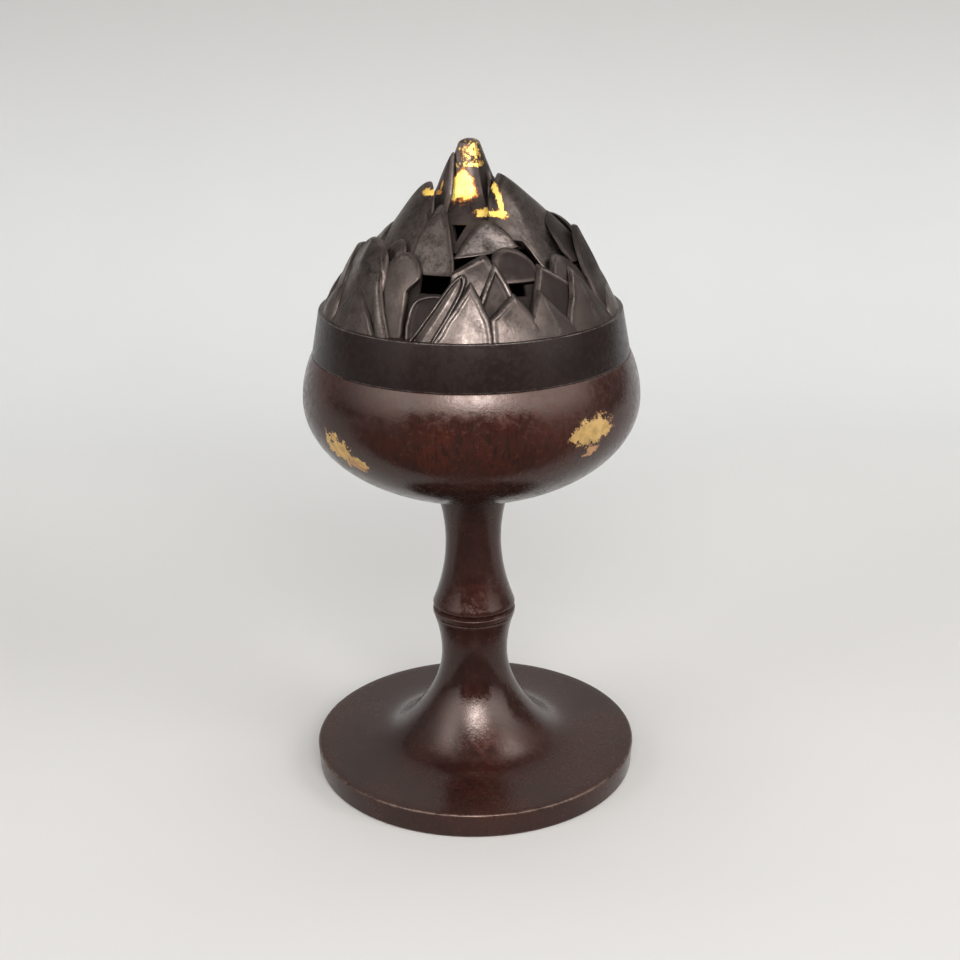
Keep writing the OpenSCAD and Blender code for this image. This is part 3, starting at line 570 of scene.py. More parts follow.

# The summit's shade, shadeH, shadeLeft and shadeRight set painted shade on its outer wall
summitForm = {"h": 46.8, "r": 3.1, "round": 1.8, "taper": 0.38, "spreadH": 33.0, "spread": 1.4, "footH": 19.6,
              "wall": 1.5, "capH": 6.0, "windowAz": -11.0, "faceAz": -20.0, "windowH": 22.2, "windowTall": 3.6,
              "windowWide": 4.0, "windowTip": 0.06, "windowCells": 6, "windowEase": 7, "around": 180, "rowsUp": 64,
              "rowsCrown": 12, "faceFlat": 0.86, "facePull": 0.6, "faceH": (25, 33), "ripple": 0.012, "thicken": 0.45,
              "leastR": 0.6, "wear": (0.08, 0.2), "wearH": (36, 45), "crownWear": 0.4, "shade": 0.7, "shadeH": (27, 31),
              "shadeLeft": (4, 16), "shadeRight": (120, 95)}
topH = summitForm["h"] - summitForm["round"]
rowStep = lidForm["lap"] + lidForm["depth"]  # from the back of one row to the back of the next
rimBack = lidForm["ledgeR"] - lidForm["setBack"] - lidForm["depth"]
tallBack = rimBack - rowStep
innerBack = tallBack - rowStep
tierR = innerBack - lidForm["lowerSlope"] * lidForm["tierH"]
summitLine = lambda h: summitForm["r"] + summitForm["taper"] * (topH - h)
upperSlope = ((tierR - rowStep - summitLine(lidForm["leafTopH"]) - lidForm["summitGap"])
              / (lidForm["leafTopH"] - lidForm["tierH"]))
petalBack = tierR + upperSlope * lidForm["tierH"]
upperBack = petalBack - rowStep


# Summit radius: a cone that spreads below spreadH by a power of the depth
def summitOut(h):
    s = summitForm
    foot = upperBack - upperSlope * s["footH"] - lidForm["lap"] - summitLine(s["footH"])
    return summitLine(h) + foot * (np.maximum(0, s["spreadH"] - h) / (s["spreadH"] - s["footH"])) ** s["spread"]


# Radius behind a leaf: its row's cone, but never inside the summit
def backRadius(row, h):
    return np.maximum(row[0] - row[1] * h, summitOut(np.maximum(h, summitForm["footH"])) + lidForm["lap"])


rows = {"rim": (rimBack, lidForm["lowerSlope"]), "tall": (tallBack, lidForm["lowerSlope"]),
        "inner": (innerBack, lidForm["lowerSlope"]), "petal": (petalBack, upperSlope), "upper": (upperBack, upperSlope),
        "peak": (0.0, 0.0)}

# Hills: azimuth from the front, half width in degrees, foot and peak height above the ledge, lean of the peak,
# tip share, fullness of the outline, ridge share
hills = {
    "rim": [
        [-2.9, 11.0, 0, 14.2, 3.0, 0.08, 1.10, 0.1], [18.0, 9.0, 0, 11.0, 0.8, 0.10, 1.40, 0.0],
        [34.8, 7.4, 0, 11.4, -3.8, 0.08, 1.00, 0.4], [55.8, 13.2, 0, 15.2, -2.0, 0.07, 1.00, 0.5],
        [80.2, 10.8, 0, 9.0, 3.0, 0.20, 1.80, 0.0], [103.2, 11.8, 0, 13.5, -3.0, 0.08, 1.10, 0.4],
        [126.5, 11.2, 0, 10.5, 2.0, 0.10, 1.40, 0.1], [150.0, 11.9, 0, 14.5, -2.0, 0.08, 1.00, 0.5],
        [173.0, 10.8, 0, 11.0, 3.0, 0.10, 1.40, 0.1], [196.0, 11.8, 0, 14.0, -2.0, 0.08, 1.10, 0.4],
        [219.0, 10.9, 0, 10.2, 2.0, 0.10, 1.50, 0.0], [242.0, 11.7, 0, 13.6, -3.0, 0.08, 1.00, 0.5],
        [263.5, 9.4, 0, 10.0, 2.0, 0.10, 1.50, 0.1], [-77.6, 9.2, 0, 9.5, 2.0, 0.10, 1.40, 0.3],
        [-53.2, 14.7, 0, 11.8, -3.2, 0.06, 1.00, 0.3], [-34.9, 3.2, 0, 15.5, -12.0, 0.40, 1.00, 0.9],
        [-18.4, 4.8, 0, 16.0, 14.8, 0.78, 1.00, 0.9]],
    "tall": [
        [-15.8, 7.4, 0, 10.6, 0.0, 0.92, 9.00, 0.0], [10.8, 12.8, 0, 18.5, 1.6, 0.15, 1.30, 0.0],
        [37.8, 13.6, 0, 16.8, -1.0, 0.12, 3.20, 0.3], [55.5, 12.5, 0, 18.2, -3.0, 0.45, 3.00, 0.2],
        [90.0, 20.0, 0, 23.2, -5.0, 0.60, 3.60, 0.1], [124.5, 21.0, 0, 23.4, 0.0, 0.70, 4.20, 0.1],
        [158.6, 16.3, 0, 22.5, -2.0, 0.20, 3.00, 0.2], [192.2, 16.0, 0, 19.0, 2.0, 0.15, 2.60, 0.5],
        [226.6, 16.7, 0, 22.0, -2.0, 0.20, 3.00, 0.1], [261.6, 20.0, 0, 17.6, 1.0, 0.50, 3.00, 0.3],
        [-62.9, 19.0, 0, 22.4, 1.0, 0.64, 3.00, 0.2], [-34.4, 11.0, 0, 20.0, -2.0, 0.72, 4.20, 0.0]],
    "inner": [
        [26.5, 11.4, 12.5, 21.4, -6.0, 0.58, 3.40, 0.0], [-47.0, 9.0, 12.5, 22.6, 1.0, 0.40, 2.60, 0.0],
        [-1.0, 11.0, 7.0, 20.0, 9.0, 0.22, 2.60, 0.0]],
    "petal": [
        [-21.3, 13.4, 14.6, 31.0, -8.0, 0.45, 2.60, 0.0], [11.0, 19.8, 19.6, 27.4, 2.5, 0.30, 1.80, 0.0],
        [84.0, 22.0, 15.0, 27.4, 2.0, 0.50, 3.20, 0.0], [135.0, 17.0, 15.5, 28.5, 3.0, 0.15, 1.80, 0.0],
        [183.0, 17.0, 15.0, 27.0, 2.0, 0.15, 1.80, 0.0], [230.0, 17.0, 15.5, 28.0, -2.0, 0.15, 1.80, 0.0],
        [271.0, 15.0, 15.0, 24.6, 2.0, 0.25, 2.00, 0.0]],
    "upper": [
        [58.0, 39.5, 19.0, 38.0, 1.0, 0.34, 4.00, 0.0], [120.0, 21.6, 14.6, 33.0, -2.0, 0.22, 2.80, 0.0],
        [168.0, 25.6, 14.6, 36.0, 3.0, 0.25, 3.00, 0.0], [214.2, 19.8, 14.6, 31.0, 0.0, 0.20, 2.80, 0.0],
        [253.6, 18.4, 14.6, 33.5, 1.0, 0.22, 2.80, 0.0], [-54.0, 29.4, 14.6, 35.8, -14.0, 0.62, 3.20, 0.0]],
    "peak": [
        [-74.0, 42.0, 24.0, 43.4, 12.0, 0.25, 2.00, 0.0], [70.0, 42.0, 24.0, 38.5, -8.0, 0.20, 1.80, 0.0],
        [172.0, 50.0, 24.0, 40.5, 6.0, 0.20, 1.80, 0.0]]}
hillKinds = {"rim": ("rim_hill", lidBronze), "tall": ("tall_hill", lidBronze), "inner": ("inner_hill", lidBronze),
             "petal": ("petal", leafBronze), "upper": ("upper_leaf", leafBronze), "peak": ("side_peak", peakBronze)}

# Relief of each row: outline widened by a share, radial shift, plate thickness, radius of its rounded edge, raised
# border and the sunk panel inside it, swell of the middle, lean of the tip towards the axis, wear of the face (rubbed
# metal, which single hills raise or lower as painted highlight on faces the light falls on), and how far the foot
# sinks into the summit; measures in mm
reliefKeys = ("widen", "shift", "thick", "round", "border", "panel", "swell", "tuck", "face", "sink")
reliefs = {kind: dict(zip(reliefKeys, row)) for kind, row in {
    "rim": (1.08, 0.05, 1.15, 0.75, 0.10, 0.04, 0.50, 1.2, 0.15, 0.0),
    "tall": (1.16, 0.00, 1.60, 0.75, 0.04, 0.02, 0.35, 1.6, 0.12, 0.0),
    "inner": (1.10, 0.20, 1.50, 0.80, 0.03, 0.02, 0.40, 1.0, 0.12, 0.0),
    "petal": (1.05, -0.40, 1.20, 0.70, 0.03, 0.02, 0.50, 0.6, 0.30, 0.0),
    "upper": (1.05, 0.00, 1.60, 1.00, 0.02, 0.00, 0.45, 0.9, 0.15, 0.0),
    "peak": (1.00, 0.00, 0.90, 0.90, 0.00, 0.00, 0.50, 0.5, 0.15, 1.4)}.items()}

noCut, everyWidth, everyHeight = 999, (-3, -2), (-2, -1)

# What single hills do differently: sides, fulls and cuts give left and right widths, fullnesses and the azimuths where
# a neighbour ends the outline; waist narrows the right side by a share from one height down to another; rise tilts the
# foot up to the right, and drop lowers it from one azimuth to another; bulge and flare swell the middle and the lower
# right; rib makes a round rib of that height, facet cuts the left side back and adds a step, lumps is the height of the
# unevenness; plain leaves the border off on the right; dark is painted shade on the panel, and shade is painted shade
# that grows from a first to a second place across and up
plainLeaf = {"sides": (1, 1), "cuts": (-noCut, noCut), "waist": (0, 1, 0), "rise": 0, "bulge": 0, "flare": 0,
             "lumps": 0.10, "plain": 0, "dark": 0, "shade": (0, *everyWidth, *everyHeight)}
ownRelief = {
    ("rim", 0): {"border": 0.30, "panel": 0.26, "round": 0.9, "swell": 0.60, "face": 0.22, "fulls": (1.1, 1.4),
                 "cuts": (-noCut, 8.3)},
    ("rim", 1): {"border": 0.28, "panel": 0.16, "round": 0.9, "plain": 1, "swell": 0.60, "face": 0.12,
                 "sides": (1.7, 1.1), "cuts": (7.2, noCut), "shade": (0.45, 0.15, 0.95, *everyHeight)},
    ("rim", 2): {"swell": 0.4, "face": 0.08, "border": 0.08, "sides": (1.9, 1.3),
                 "shade": (0.55, -0.9, 0.1, *everyHeight)},
    ("rim", 3): {"sides": (1.3, 1), "face": 0.08, "dark": 0.4},
    ("rim", 14): {"dark": 0.3},
    ("rim", 15): {"rib": 1.8, "dark": 0.4},
    ("rim", 16): {"border": 0.50, "panel": 0.75, "swell": 0.0, "round": 0.62, "shift": -0.1, "thick": 1.25, "face": 0.1,
                  "dark": 0.35},
    ("tall", 0): {"border": 0.40, "panel": 0.65, "swell": 0.0, "widen": 1.06, "face": 0.05, "dark": 0.85,
                  "sides": (1.42, 1)},
    ("tall", 1): {"border": 0.38, "panel": 0.62, "round": 0.95, "swell": 0.0, "widen": 1.02, "face": 0.05,
                  "dark": 0.65},
    ("tall", 2): {"border": 0.20, "panel": 0.14, "shift": 0.35, "sides": (1.12, 1.5), "fulls": (1.0, 2.1), "face": 0.04,
                  "dark": 0.9},
    ("tall", 3): {"border": 0.05, "dark": 0.45},
    ("tall", 4): {"tuck": 0.4, "shift": 1.2, "border": 0.0, "dark": 0.35, "shade": (0.9, 0.45, -0.1, 0.35, 0.65)},
    ("tall", 5): {"tuck": 0.6, "shift": 1.0, "border": 0.0},
    ("tall", 9): {"tuck": 0.6, "shift": 0.7},
    ("tall", 10): {"tuck": 0.6, "shift": 0.8, "facet": (0.9, 0.5)},
    ("tall", 11): {"swell": 0.7, "border": 0.03, "waist": (0.48, 0.74, 0.52)},
    ("inner", 0): {"swell": 0.8, "border": 0.0, "lumps": 0.2, "face": 0.04, "dark": 1.0},
    ("inner", 1): {"border": 0.0, "lumps": 0.3},
    ("inner", 2): {"sides": (1.7, 1), "cuts": (-10.0, noCut), "shift": 0.9, "border": 0.06, "lumps": 0.25, "dark": 0.3},
    ("petal", 1): {"face": 0.75, "rise": 1.1},
    ("petal", 2): {"shift": 1.8, "thick": 1.6, "tuck": 1.2, "border": 0.0, "face": 0.0,
                   "shade": (0.9, *everyWidth, *everyHeight)},
    ("upper", 0): {"rise": -4.2, "drop": (38.0, 45.0, 7.4), "flare": 2.4, "bulge": 0.9, "tuck": -1.3, "thick": 1.9,
                   "round": 1.7},
    ("upper", 5): {"bulge": 0.5, "tuck": -1.6, "thick": 1.9, "round": 1.5},
    ("peak", 0): {"tuck": -0.4, "thick": 1.05}}

# What all leaves share: grid, crowding of its rows towards the tip, power that closes the tip, outline waves as share
# and half turns, bedding in the ledge, then the relief's measures, wear, soot behind, and how much darker the tall and
# inner rows grow towards their foot
leafForm = {"around": 112, "up": 60, "crowd": 0.65, "close": 10, "waves": ((0.025, 2.1), (0.018, 5.3)), "bed": 0.25,
            "lowFoot": 12.5, "beadWide": 0.7, "panel": (1.2, 2.4), "ridgeHigh": 0.8, "ridgeSteep": 1.4,
            "lumpTurns": (3.1, 4.3, 7.0), "sinkTop": 0.45, "backEdge": 0.8, "edgeWear": 0.06, "borderWear": 0.75,
            "tipWear": 0.2, "tipFrom": 0.85, "tipRub": 0.3, "ridgeWear": 0.6, "ridgeWide": (0.16, 0.02),
            "ribWear": 0.25, "backSoot": 0.8, "footDark": {"tall": 0.55, "inner": 0.5}, "sootH": (12.0, 3.0)}


# Hill leaf: rings run from foot to peak, and round each ring the angle gives the front for its first half and the back
# for its second; the half width falls to the tip's share by a power of the height, and the plate's height follows the
# distance to its outline: a quarter-round edge, a raised border, a slightly sunk panel and a swell in the middle, with
# a straight mid-ridge where the hill has one
def hillSkin(kind, index):
    leaf, row = leafForm, rows[kind]
    form = {**plainLeaf, **reliefs[kind], **ownRelief.get((kind, index), {})}
    az, half, foot, peak, lean, tip, full, ridge = hills[kind][index]
    half = half * form["widen"]
    rng = np.random.default_rng(100 * list(hills).index(kind) + index)
    w = np.linspace(0, 1, leaf["up"] + 1)[:-1]
    v = ((1 - leaf["crowd"]) * w + leaf["crowd"] * (1 - (1 - w) ** 2))[:, None]
    phi = np.linspace(0, 2 * np.pi, leaf["around"], endpoint=False)[None, :]
    u = np.cos(phi) + 0 * v
    front = np.sin(phi) >= -1e-9
    # Outline: each side's share of the half width falls from the foot to the tip
    close = np.sqrt(np.clip(1 - v ** leaf["close"], 0, 1))
    wave = sum(size * np.sin(turns * np.pi * v + rng.uniform(0, 6)) for size, turns in leaf["waves"])
    outline = lambda f: (tip + (1 - tip) * (1 - v ** f)) * close + wave * (1 - v) * (v > 0)
    (wideL, wideR), (cutL, cutR) = form["sides"], form["cuts"]
    fullL, fullR = form.get("fulls", (full, full))
    shareL = np.clip(wideL * outline(fullL), 0, (az + lean * v - cutL) / half)
    shareR = np.clip(wideR * outline(fullR), 0, (cutR - az - lean * v) / half)
    waist, waistTop, waistLow = form["waist"]
    shareR = shareR * (1 - waist * smoothstep(waistTop, waistLow, v))
    share = np.where(u >= 0, shareR, shareL)
    footH = foot + form["rise"] * u
    if "drop" in form:
        start, end, deep = form["drop"]
        footH = np.maximum(footH - deep * smoothstep(start, end, az + half * u), min(foot, leaf["lowFoot"]))
    h = footH * (1 - v) + peak * v - (leaf["bed"] if foot == 0 else 0) * (1 - v) ** 6
    a = az + lean * v + half * share * u
    base = backRadius(row, h) + form["shift"]
    # Relief: away is the distance to the outline along the plate
    length = (peak - foot) * np.sqrt(1 + row[1] ** 2)
    wide = np.radians(half) * base * share
    sideSlope = np.gradient(wide, (v * length)[:, 0], axis=0)
    away = (1 - np.abs(u)) * wide / np.sqrt(1 + sideSlope ** 2)
    if foot > 0 and form["sink"] == 0:
        away = np.minimum(away, v * length)
    rim = form["round"]
    edge = np.sqrt(np.clip(1 - (1 - np.clip(away / rim, 0, 1)) ** 2, 0, 1))
    bead = np.exp(-((away - rim) / (leaf["beadWide"] * rim)) ** 2)
    bead = bead * (1 - form["plain"] * smoothstep(-0.1, 0.3, u))
    inside = smoothstep(leaf["panel"][0] * rim, leaf["panel"][1] * rim, away)
    swell = form["swell"] * (1 - u ** 2) * (1 - v ** 2) * edge
    swell = swell + ridge * leaf["ridgeHigh"] * np.clip(1 - np.abs(u) * leaf["ridgeSteep"], 0, 1) * (1 - v ** 3)
    acrossTurn, upTurn, rowTurn = leaf["lumpTurns"]
    lumps = form["lumps"] * np.sin(acrossTurn * u + upTurn * v + rng.uniform(0, 6))
    lumps = lumps * np.sin(rowTurn * v + rng.uniform(0, 6)) * inside
    mid = lidForm["edge"] / 2
    high = mid + (form["thick"] - mid) * edge + form["border"] * bead * edge - form["panel"] * inside + swell + lumps
    wear = form["face"] * inside + (leaf["edgeWear"] + leaf["borderWear"] * form["border"]) * bead * edge
    wear = wear + leaf["tipWear"] * smoothstep(leaf["tipFrom"], 1.0, v)
    wear = wear + leaf["ridgeWear"] * ridge * smoothstep(*leaf["ridgeWide"], np.abs(u))
    if "rib" in form:
        rib = np.sqrt(np.clip(1 - u ** 2, 0, 1))
        high = mid + (form["rib"] - mid) * (0.30 * edge + 0.70 * rib * np.sqrt(np.clip(1 - v ** 8, 0, 1)))
        wear = leaf["edgeWear"] + leaf["ribWear"] * smoothstep(0.75, 1.0, rib)
    if "facet" in form:
        cutBack, step = form["facet"]
        high = high - cutBack * smoothstep(0.1, -0.7, u) * edge
        high = high + step * smoothstep(0.62, 0.70, v) * smoothstep(-0.2, 0.0, u) * edge
    sunk = form["sink"] * smoothstep(leaf["sinkTop"], 0.0, v)
    out = np.where(front, high, mid - mid * np.clip(away / leaf["backEdge"], 0, 1)) - sunk
    r = base + out - form["tuck"] * v ** 4 + form["bulge"] * np.sin(np.pi * np.clip(v, 0, 1) ** 2.2)
    r = r + form["flare"] * smoothstep(0.0, 0.7, u) * smoothstep(0.85, 0.4, v)
    rad = np.radians(a)
    grid = np.stack([r * np.sin(rad), -r * np.cos(rad), lidForm["ledgeZ"] + h], -1)
    tipA, tipR = np.radians(az + lean), float(backRadius(row, np.array(peak))) + form["shift"] + mid - form["tuck"]
    tipPoint = [tipR * np.sin(tipA), -tipR * np.cos(tipA), lidForm["ledgeZ"] + peak]
    points, quads, tris = ringSkin(grid, poles=np.array([grid[0].mean(0), tipPoint]))
    # Finish: worn in front only, soot behind, darker towards the foot, and painted shade on the panel and where the
    # hill has its own shade
    wear = np.where(front, np.clip(wear, 0, 1), 0.0)
    deep = leaf["footDark"].get(kind, 0.0) * smoothstep(*leaf["sootH"], h)
    dim, left, right, low, top = form["shade"]
    shade = dim * smoothstep(left, right, u) * smoothstep(low, top, v)
    soot = np.where(front, np.clip(form["dark"] * inside + deep + shade, 0, 1), leaf["backSoot"])
    outer = np.broadcast_to(front, r.shape)
    withPoles = lambda value, low, top: np.concatenate([value.ravel(), [low, top]])
    return points, quads, tris, {"wear": withPoles(wear, 0, leaf["tipRub"]),
                                 "soot": withPoles(soot, leaf["backSoot"], 0), "outer": withPoles(outer, 0, 1)}


for kind, (node, material) in hillKinds.items():
    for index in range(len(hills[kind])):
        label = "%s_%d" % (node, index + 1)
        points, quads, tris, values = hillSkin(kind, index)
        place(putMesh("hill_" + label, points, quads, tris, material, 75, **values), "lid", label)
print("hills made")


# Summit: outer and inner walls of one turned skin, four faces eased into a round, with a three-cornered smoke window
# that narrows downwards: columns beside it are drawn together row by row, and its cells are left out and walled
def summitSkin():
    s = summitForm
    n, rowsUp, cells, mid = s["around"], s["rowsUp"], s["windowCells"], s["around"] // 2
    windowAz, faceAz = math.radians(s["windowAz"]), math.radians(s["faceAz"])
    h = np.linspace(s["footH"], topH, rowsUp)
    rowAt = lambda height: int(np.argmin(np.abs(h - height)))
    i0, i1, capRow = rowAt(s["windowH"]), rowAt(s["windowH"] + s["windowTall"]), rowAt(topH - s["capH"])
    az = np.linspace(-np.pi, np.pi, n, endpoint=False) + windowAz
    rOut = summitOut(h)
    halfWin = az[mid + cells] - az[mid]
    want = s["windowWide"] / 2 / rOut / halfWin
    tall = np.clip((h - h[i0]) / (h[i1] - h[i0]), 0, 1)
    squeeze = np.where((h >= h[i0] - 1e-6) & (h <= h[i1] + 1e-6), want * np.maximum(tall, s["windowTip"]), 1.0)
    for k in range(1, s["windowEase"]):
        for edge, step in ((i0, -1), (i1, 1)):
            q = edge + k * step
            if 0 <= q < rowsUp:
                squeeze[q] = squeeze[edge] + (1 - squeeze[edge]) * k / s["windowEase"]
    delta = az - windowAz
    near = np.clip((3 * halfWin - np.abs(delta)) / (2 * halfWin), 0, 1)[None, :]
    turn = windowAz + delta[None, :] * (1 - near * (1 - squeeze[:, None]))
    side = np.mod(turn - faceAz + np.pi / 4, np.pi / 2) - np.pi / 4
    face = (s["faceFlat"] / np.cos(side) - 1) * s["facePull"] * smoothstep(*s["faceH"], h)[:, None]
    face = face + s["ripple"] * np.sin(7 * turn + 0.4 * h[:, None])
    outer = rOut[:, None] * (1 + face)
    thick = s["wall"] * (1 + s["thicken"] * smoothstep(s["spreadH"], s["footH"] + 4, h))
    inner = np.maximum(outer - thick[:, None], s["leastR"])
    t = np.linspace(0, np.pi / 2, s["rowsCrown"] + 1)[1:-1]
    crownR = s["r"] * np.cos(t)[:, None] * (1 + face[-1][None])
    crownH = topH + s["round"] * np.sin(t)
    ring = lambda r, hh, tt: np.stack([r * np.sin(tt), -r * np.cos(tt), lidForm["ledgeZ"] + hh[:, None] + 0 * r], -1)
    innerGrid = ring(inner[:capRow], h[:capRow], turn[:capRow])
    crownGrid = ring(crownR, crownH, np.broadcast_to(turn[-1], crownR.shape))
    grid = np.concatenate([innerGrid[::-1], ring(outer, h, turn), crownGrid], 0)
    poles = np.array([[0, 0, lidForm["ledgeZ"] + h[capRow]], [0, 0, lidForm["ledgeZ"] + s["h"]]])
    points, quads, tris = ringSkin(grid, poles=poles)
    rowOf, colOf = quads[:, 0] // n, quads[:, 0] % n
    colIn = (colOf >= mid - cells) & (colOf < mid + cells)
    inWall = (rowOf >= capRow - 1 - i1) & (rowOf < capRow - 1 - i0)
    outWall = (rowOf >= capRow + i0) & (rowOf < capRow + i1)
    quads = quads[~(colIn & (inWall | outWall))]
    cols, rws = np.arange(mid - cells, mid + cells + 1), np.arange(i0, i1 + 1)
    same = lambda value, like: np.full(len(like), value)
    loopRow = np.concatenate([same(i0, cols), rws[1:], same(i1, cols[1:]), rws[-2:0:-1]])
    loopCol = np.concatenate([cols, same(cols[-1], rws[1:]), cols[-2::-1], same(cols[0], rws[-2:0:-1])])
    outIdx, inIdx = (capRow + loopRow) * n + loopCol, (capRow - 1 - loopRow) * n + loopCol
    walls = np.stack([outIdx, inIdx, np.roll(inIdx, -1), np.roll(outIdx, -1)], -1)
    first, last = capRow * n, (capRow + rowsUp) * n  # points of the outer wall
    wear, soot = np.zeros(len(points)), np.zeros(len(points))
    wear[first:last] = (s["wear"][0] + s["wear"][1] * smoothstep(*s["wearH"], h)).repeat(n)
    wear[last:] = s["crownWear"]
    # Painted shade on the outer wall, between two azimuths right of the front and above a height
    around = np.degrees(turn)
    shade = smoothstep(*s["shadeLeft"], around) * smoothstep(*s["shadeRight"], around)
    shade = shade * smoothstep(*s["shadeH"], h)[:, None] * s["shade"]
    soot[:first] = leafForm["backSoot"]
    soot[first:last] = shade.ravel()
    outer = (np.arange(len(points)) >= first).astype(float)
    return points, np.vstack([quads, walls]), tris, {"wear": wear, "soot": soot, "outer": outer}


points, quads, tris, values = summitSkin()
place(putMesh("summitPeak", points, quads, tris, summitBronze, 50, **values), "lid", "summit_peak")

# CAD nodes that show as they are
plainNodes = {"lid_dome": smokedBronze, "tie_rod": zincSteel, "foot_washer": zincSteel, "foot_nut": zincSteel}
for name, material in plainNodes.items():
    nodes[name].data.materials.clear()
    nodes[name].data.materials.append(material)
print("summit and hardware done")

stageForm = {"back": 0.30, "bend": 0.45, "wide": 2.6, "front": 2.2, "high": 2.2, "far": (0.70, 0.695, 0.68, 1),
             "floor": (0.82, 0.805, 0.78, 1), "litRear": (0.92, 0.925, 0.91, 1), "wall": (0.68, 0.67, 0.65, 1),
             "fleck": (0.60, 0.60, 0.58, 1), "bounce": (0.42, 0.41, 0.39, 1), "room": (0.14, 0.144, 0.15, 1)}


# Sweep: floor, a quarter bend and an upright backdrop, one profile carried across; far from the object it keeps one
# plain tone to the camera. Its tone is painted light: lighter towards the back of the floor and the bend, and darker
# up the wall
def sweepStage():
    s = stageForm
    t = np.linspace(0, np.pi / 2, 32)
    y = np.concatenate([[-s["front"], 0], s["back"] + s["bend"] * np.sin(t), [s["back"] + s["bend"]]])
    z = np.concatenate([[0, 0], s["bend"] * (1 - np.cos(t)), [s["high"]]])
    x = np.array([-s["wide"], s["wide"]])
    pts = np.stack(np.broadcast_arrays(x[None, :], y[:, None], z[:, None]), -1).reshape(-1, 3)
    i = np.arange(len(y) - 1) * 2
    mesh = bpy.data.meshes.new("studioSweep")
    mesh.from_pydata(pts.tolist(), [], np.stack([i, i + 1, i + 3, i + 2], -1).tolist())
    mesh.shade_smooth()
    material, tree, shader = newMaterial("paleSweep")
    vec = objectCoords(tree)
    part = splitXyz(tree, vec)
    # Painted light: lighter towards the back and the bend, darker up the wall
    tone = blendColor(tree, span(tree, part["Y"], 0.05, 0.42), s["floor"], s["litRear"])
    tone = blendColor(tree, span(tree, part["Z"], 0.02, 0.26), tone, s["wall"])
    tone = blendColor(tree, span(tree, noise(tree, vec, 9.0, 3.0, 0.5), 0.35, 0.75, 0.0, 0.05), tone, s["fleck"])
    path = addNode(tree, "ShaderNodeLightPath").outputs
    most, mul = sums(tree, "MAXIMUM", "MULTIPLY")
    seen = most(most(path["Is Camera Ray"], path["Is Glossy Ray"]), path["Is Transmission Ray"])
    linkAll(tree, shader, {"Base Color": blendColor(tree, seen, s["bounce"], tone)})
    shader.inputs["Roughness"].default_value = 0.9
    shader.inputs["Specular IOR Level"].default_value = 0.1
    aside = span(tree, calc(tree, "ABSOLUTE", part["X"]), 0.42, 0.75)
    far = mul(most(aside, span(tree, part["Y"], -0.30, -0.70)), path["Is Camera Ray"])
    plain = addNode(tree, "ShaderNodeEmission", None, {"Color": s["far"], "Strength": 1.0})
    both = addNode(tree, "ShaderNodeMixShader", None, {0: far, 1: shader.outputs[0], 2: plain.outputs[0]})
    linkAll(tree, tree.nodes["Material Output"], {"Surface": both.outputs[0]})
    mesh.materials.append(material)
    addObject("studioSweep", mesh)


sweepStage()


# Stage piece that only reflections see
def mirrorOnly(name, corners, faces, material):
    mesh = bpy.data.meshes.new(name)
    mesh.from_pydata(corners, [], faces)
    mesh.materials.append(material)
    made = addObject(name, mesh)
    made.visible_camera = made.visible_diffuse = made.visible_shadow = made.visible_transmission = False


# Flag: a dark card, as the unlit room in front of the table
def darkFlag(name, corners, tone=0.13):
    material, _, shader = newMaterial(name)
    shader.inputs["Base Color"].default_value = (tone, tone, 0.98 * tone, 1)
    shader.inputs["Roughness"].default_value = 1.0
    mirrorOnly(name, corners, [(0, 1, 2, 3)], material)


darkFlag("flagUpright", [(-0.75, -0.8, 0.0), (0.75, -0.8, 0.0), (0.75, -0.8, 0.36), (-0.75, -0.8, 0.36)])
darkFlag("flagTable", [(-0.75, -0.8, 0.001), (0.75, -0.8, 0.001), (0.75, -0.06, 0.001), (-0.75, -0.06, 0.001)])
darkFlag("flagRight", [(0.7, -0.06, 0.0), (0.7, 0.6, 0.0), (0.7, 0.6, 0.36), (0.7, -0.06, 0.36)], 0.30)

# Lobes of the glow: azimuth, elevation, half spans in degrees, strength; band is the fainter one between them
glowForm = {"radius": 1.25, "centreZ": 0.10, "half": 150, "low": 2, "high": 80, "cols": 41, "rows": 13, "rest": 0.25,
            "tone": (1.0, 0.965, 0.945, 1), "band": (8, 23, 86, 17, 4.5),
            "lobes": [(3, 33, 19, 8.5, 28.0), (-58, 45, 20, 14, 3.7), (77, 51, 20, 10, 6.4)]}


